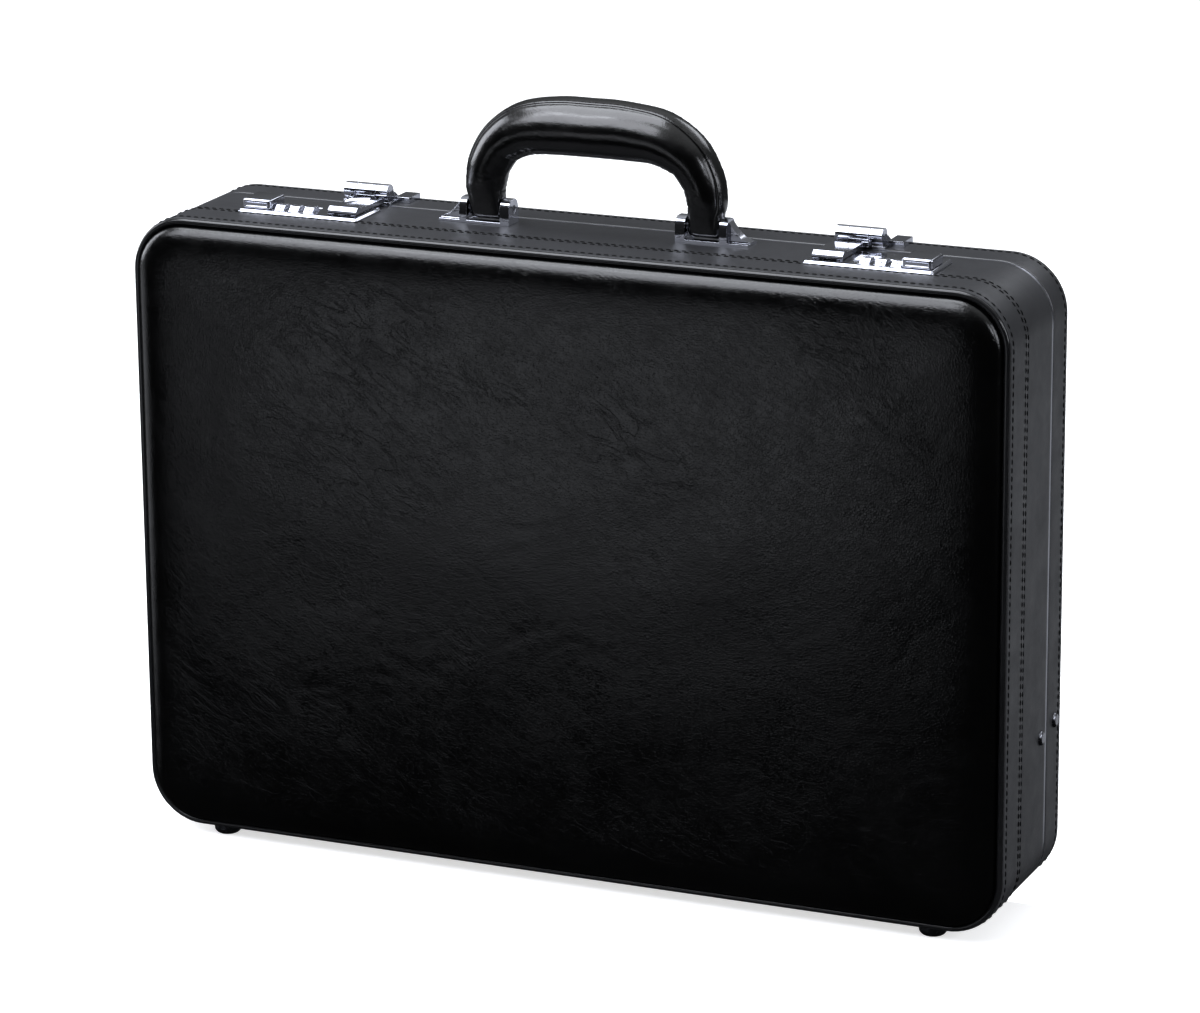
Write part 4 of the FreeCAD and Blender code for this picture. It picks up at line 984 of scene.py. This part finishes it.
def floor():
    """A pale floor, with a shallow well behind the case for the opened lid, which swings below its feet."""
    mesh = bpy.data.meshes.new("floor")
    reach, deep = 6.0, -0.036
    well_half, well_near, well_far = 0.27, 0.0225, 0.47
    xs = (-reach, -well_half, well_half, reach)
    ys = (-reach, well_near, well_far, reach)
    points = [(x, y, 0.0) for x in xs for y in ys]
    points += [(x, y, deep) for x in xs[1:3] for y in ys[1:3]]
    faces = [(4 * i + j, 4 * i + 4 + j, 4 * i + 5 + j, 4 * i + 1 + j)
             for i in range(3) for j in range(3) if (i, j) != (1, 1)]
    faces += [(16, 18, 19, 17), (5, 9, 18, 16), (9, 10, 19, 18), (10, 6, 17, 19), (6, 5, 16, 17)]
    mesh.from_pydata(points, [], faces)
    shader = Shader("floor")
    cloud = shader.noise(0.9, detail=3)
    colour = shader.mix(cloud, grey(0.86), grey(0.88))
    glow = {"Emission_Color": colour, "Emission_Strength": 0.75}
    mesh.materials.append(shader.finish(Base_Color=colour, Roughness=0.9, Specular_IOR_Level=0.1, **glow))
    made = bpy.data.objects.new("floor", mesh)
    bpy.context.scene.collection.objects.link(made)
    made.visible_glossy = False
    made.visible_shadow = False


def softbox(name, place, aim, wide, tall, power):
    light = bpy.data.lights.new(name, "AREA")
    light.shape = "RECTANGLE"
    light.size, light.size_y, light.energy = wide, tall, power
    light.color = (0.90, 0.93, 1.0)
    made = bpy.data.objects.new(name, light)
    bpy.context.scene.collection.objects.link(made)
    made.location = place
    made.rotation_mode = "QUATERNION"
    made.rotation_quaternion = (Vector(place) - Vector(aim)).to_track_quat("Z", "Y")
    made.visible_camera = False


def sky():
    """The world's own light: bright above and behind, dark in front and below the horizon."""
    world = bpy.data.worlds.new("studio")
    bpy.context.scene.world = world
    world.use_nodes = True
    tree = world.node_tree
    tree.nodes.clear()
    where = tree.nodes.new("ShaderNodeTexCoord")
    split = tree.nodes.new("ShaderNodeSeparateXYZ")
    tree.links.new(where.outputs["Generated"], split.inputs[0])

    def slope(axis, points):
        """Brightness along one direction component, as straight runs between (component, level) points."""
        curve = tree.nodes.new("ShaderNodeFloatCurve")
        tree.links.new(split.outputs[axis], curve.inputs["Value"])
        line = curve.mapping.curves[0]
        curve.mapping.use_clip = False
        curve.mapping.extend = "HORIZONTAL"
        line.points[0].location, line.points[1].location = points[0], points[-1]
        for point in points[1:-1]:
            line.points.new(*point)
        for point in line.points:
            point.handle_type = "VECTOR"
        curve.mapping.update()
        return curve.outputs[0]

    overhead = slope("Z", [(-1.0, 0.01), (-0.05, 0.012), (0.25, 0.02), (0.5, 0.06), (0.7, 0.4), (1.0, 0.8)])
    low_back = slope("Z", [(-0.35, 0.0), (-0.1, 0.03), (0.1, 0.07), (0.3, 0.12), (0.6, 0.2), (1.0, 0.0)])
    behind = slope("Y", [(-0.2, 0.0), (0.5, 0.8), (1.0, 1.0)])
    both = tree.nodes.new("ShaderNodeMath")
    both.operation = "MULTIPLY_ADD"
    tree.links.new(low_back, both.inputs[0])
    tree.links.new(behind, both.inputs[1])
    tree.links.new(overhead, both.inputs[2])
    back = tree.nodes.new("ShaderNodeBackground")
    out = tree.nodes.new("ShaderNodeOutputWorld")
    tree.links.new(both.outputs[0], back.inputs["Strength"])
    back.inputs["Color"].default_value = (0.94, 0.97, 1.0, 1.0)
    tree.links.new(back.outputs[0], out.inputs["Surface"])


def studio():
    """Large softboxes, and cards for the leather and chrome to mirror, some below the floor's level."""
    middle = (0.0, 0.0, 0.2)
    top = (0.0, -0.05, 0.32)
    softbox("key", (-0.55, -1.05, 1.35), top, 1.3, 0.95, 23)
    softbox("overhead", (-0.35, -0.1, 1.7), top, 1.3, 1.3, 30)
    softbox("front_card", (-0.52, -1.19, -0.045), (-0.52, 0.0, -0.045), 0.66, 0.30, 0.52)
    softbox("side_fill", (1.7, 0.15, 0.75), middle, 0.9, 0.8, 9)
    softbox("left_fill", (-1.6, -0.1, 0.75), (0.0, -0.1, 0.35), 0.8, 1.1, 15)
    softbox("left_card", (-1.5, -0.25, -0.1), (0.0, -0.05, 0.15), 0.8, 0.4, 0.8)
    softbox("corner_card", (1.39, -0.77, 0.9), middle, 0.25, 0.35, 3.0)
    softbox("back_top", (0.6, 1.5, 1.35), middle, 0.9, 0.5, 5)
    softbox("rear_card", (0.0, 1.3, -0.22), (0.0, 0.0, -0.22), 3.4, 0.5, 3.0)
    view = bpy.context.scene.view_settings
    view.view_transform = "Standard"
    view.look = "None"


def camera():
    """The photograph's view, from the right and slightly above."""
    azimuth, elevation, roll = math.radians(23.48), math.radians(16.29), math.radians(-0.47)
    distance = 2.411
    target = Vector((21.7 * MM, RIM_FRONT, 199.6 * MM))
    back = Vector((math.sin(azimuth) * math.cos(elevation), -math.cos(azimuth) * math.cos(elevation),
                   math.sin(elevation)))
    right = (-back).cross(Vector((0, 0, 1))).normalized()
    up = right.cross(-back)
    tilted_right = right * math.cos(roll) + up * math.sin(roll)
    tilted_up = up * math.cos(roll) - right * math.sin(roll)
    data = bpy.data.cameras.new("camera")
    data.lens, data.sensor_width = 149.1, 36.0
    made = bpy.data.objects.new("camera", data)
    bpy.context.scene.collection.objects.link(made)
    turn = Matrix((tilted_right, tilted_up, back)).transposed().to_4x4()
    made.matrix_world = Matrix.Translation(target + back * distance) @ turn
    bpy.context.scene.camera = made


# ---------- assembly

case_sides()
welt("front_rim_bead", "front_welt", "base", -1)
welt("rear_rim_bead", "rear_welt", "lid", 1)
panel("front_panel_leather", "front_panel", "front_panel_foam", "base", -1)
panel("rear_panel_leather", "rear_panel", "rear_panel_foam", "lid", 1)
handle()
pocket()
for side in SIDES:
    for number in (1, 2, 3):
        digits(side, number)
finish_nodes()
floor()
sky()
studio()
camera()
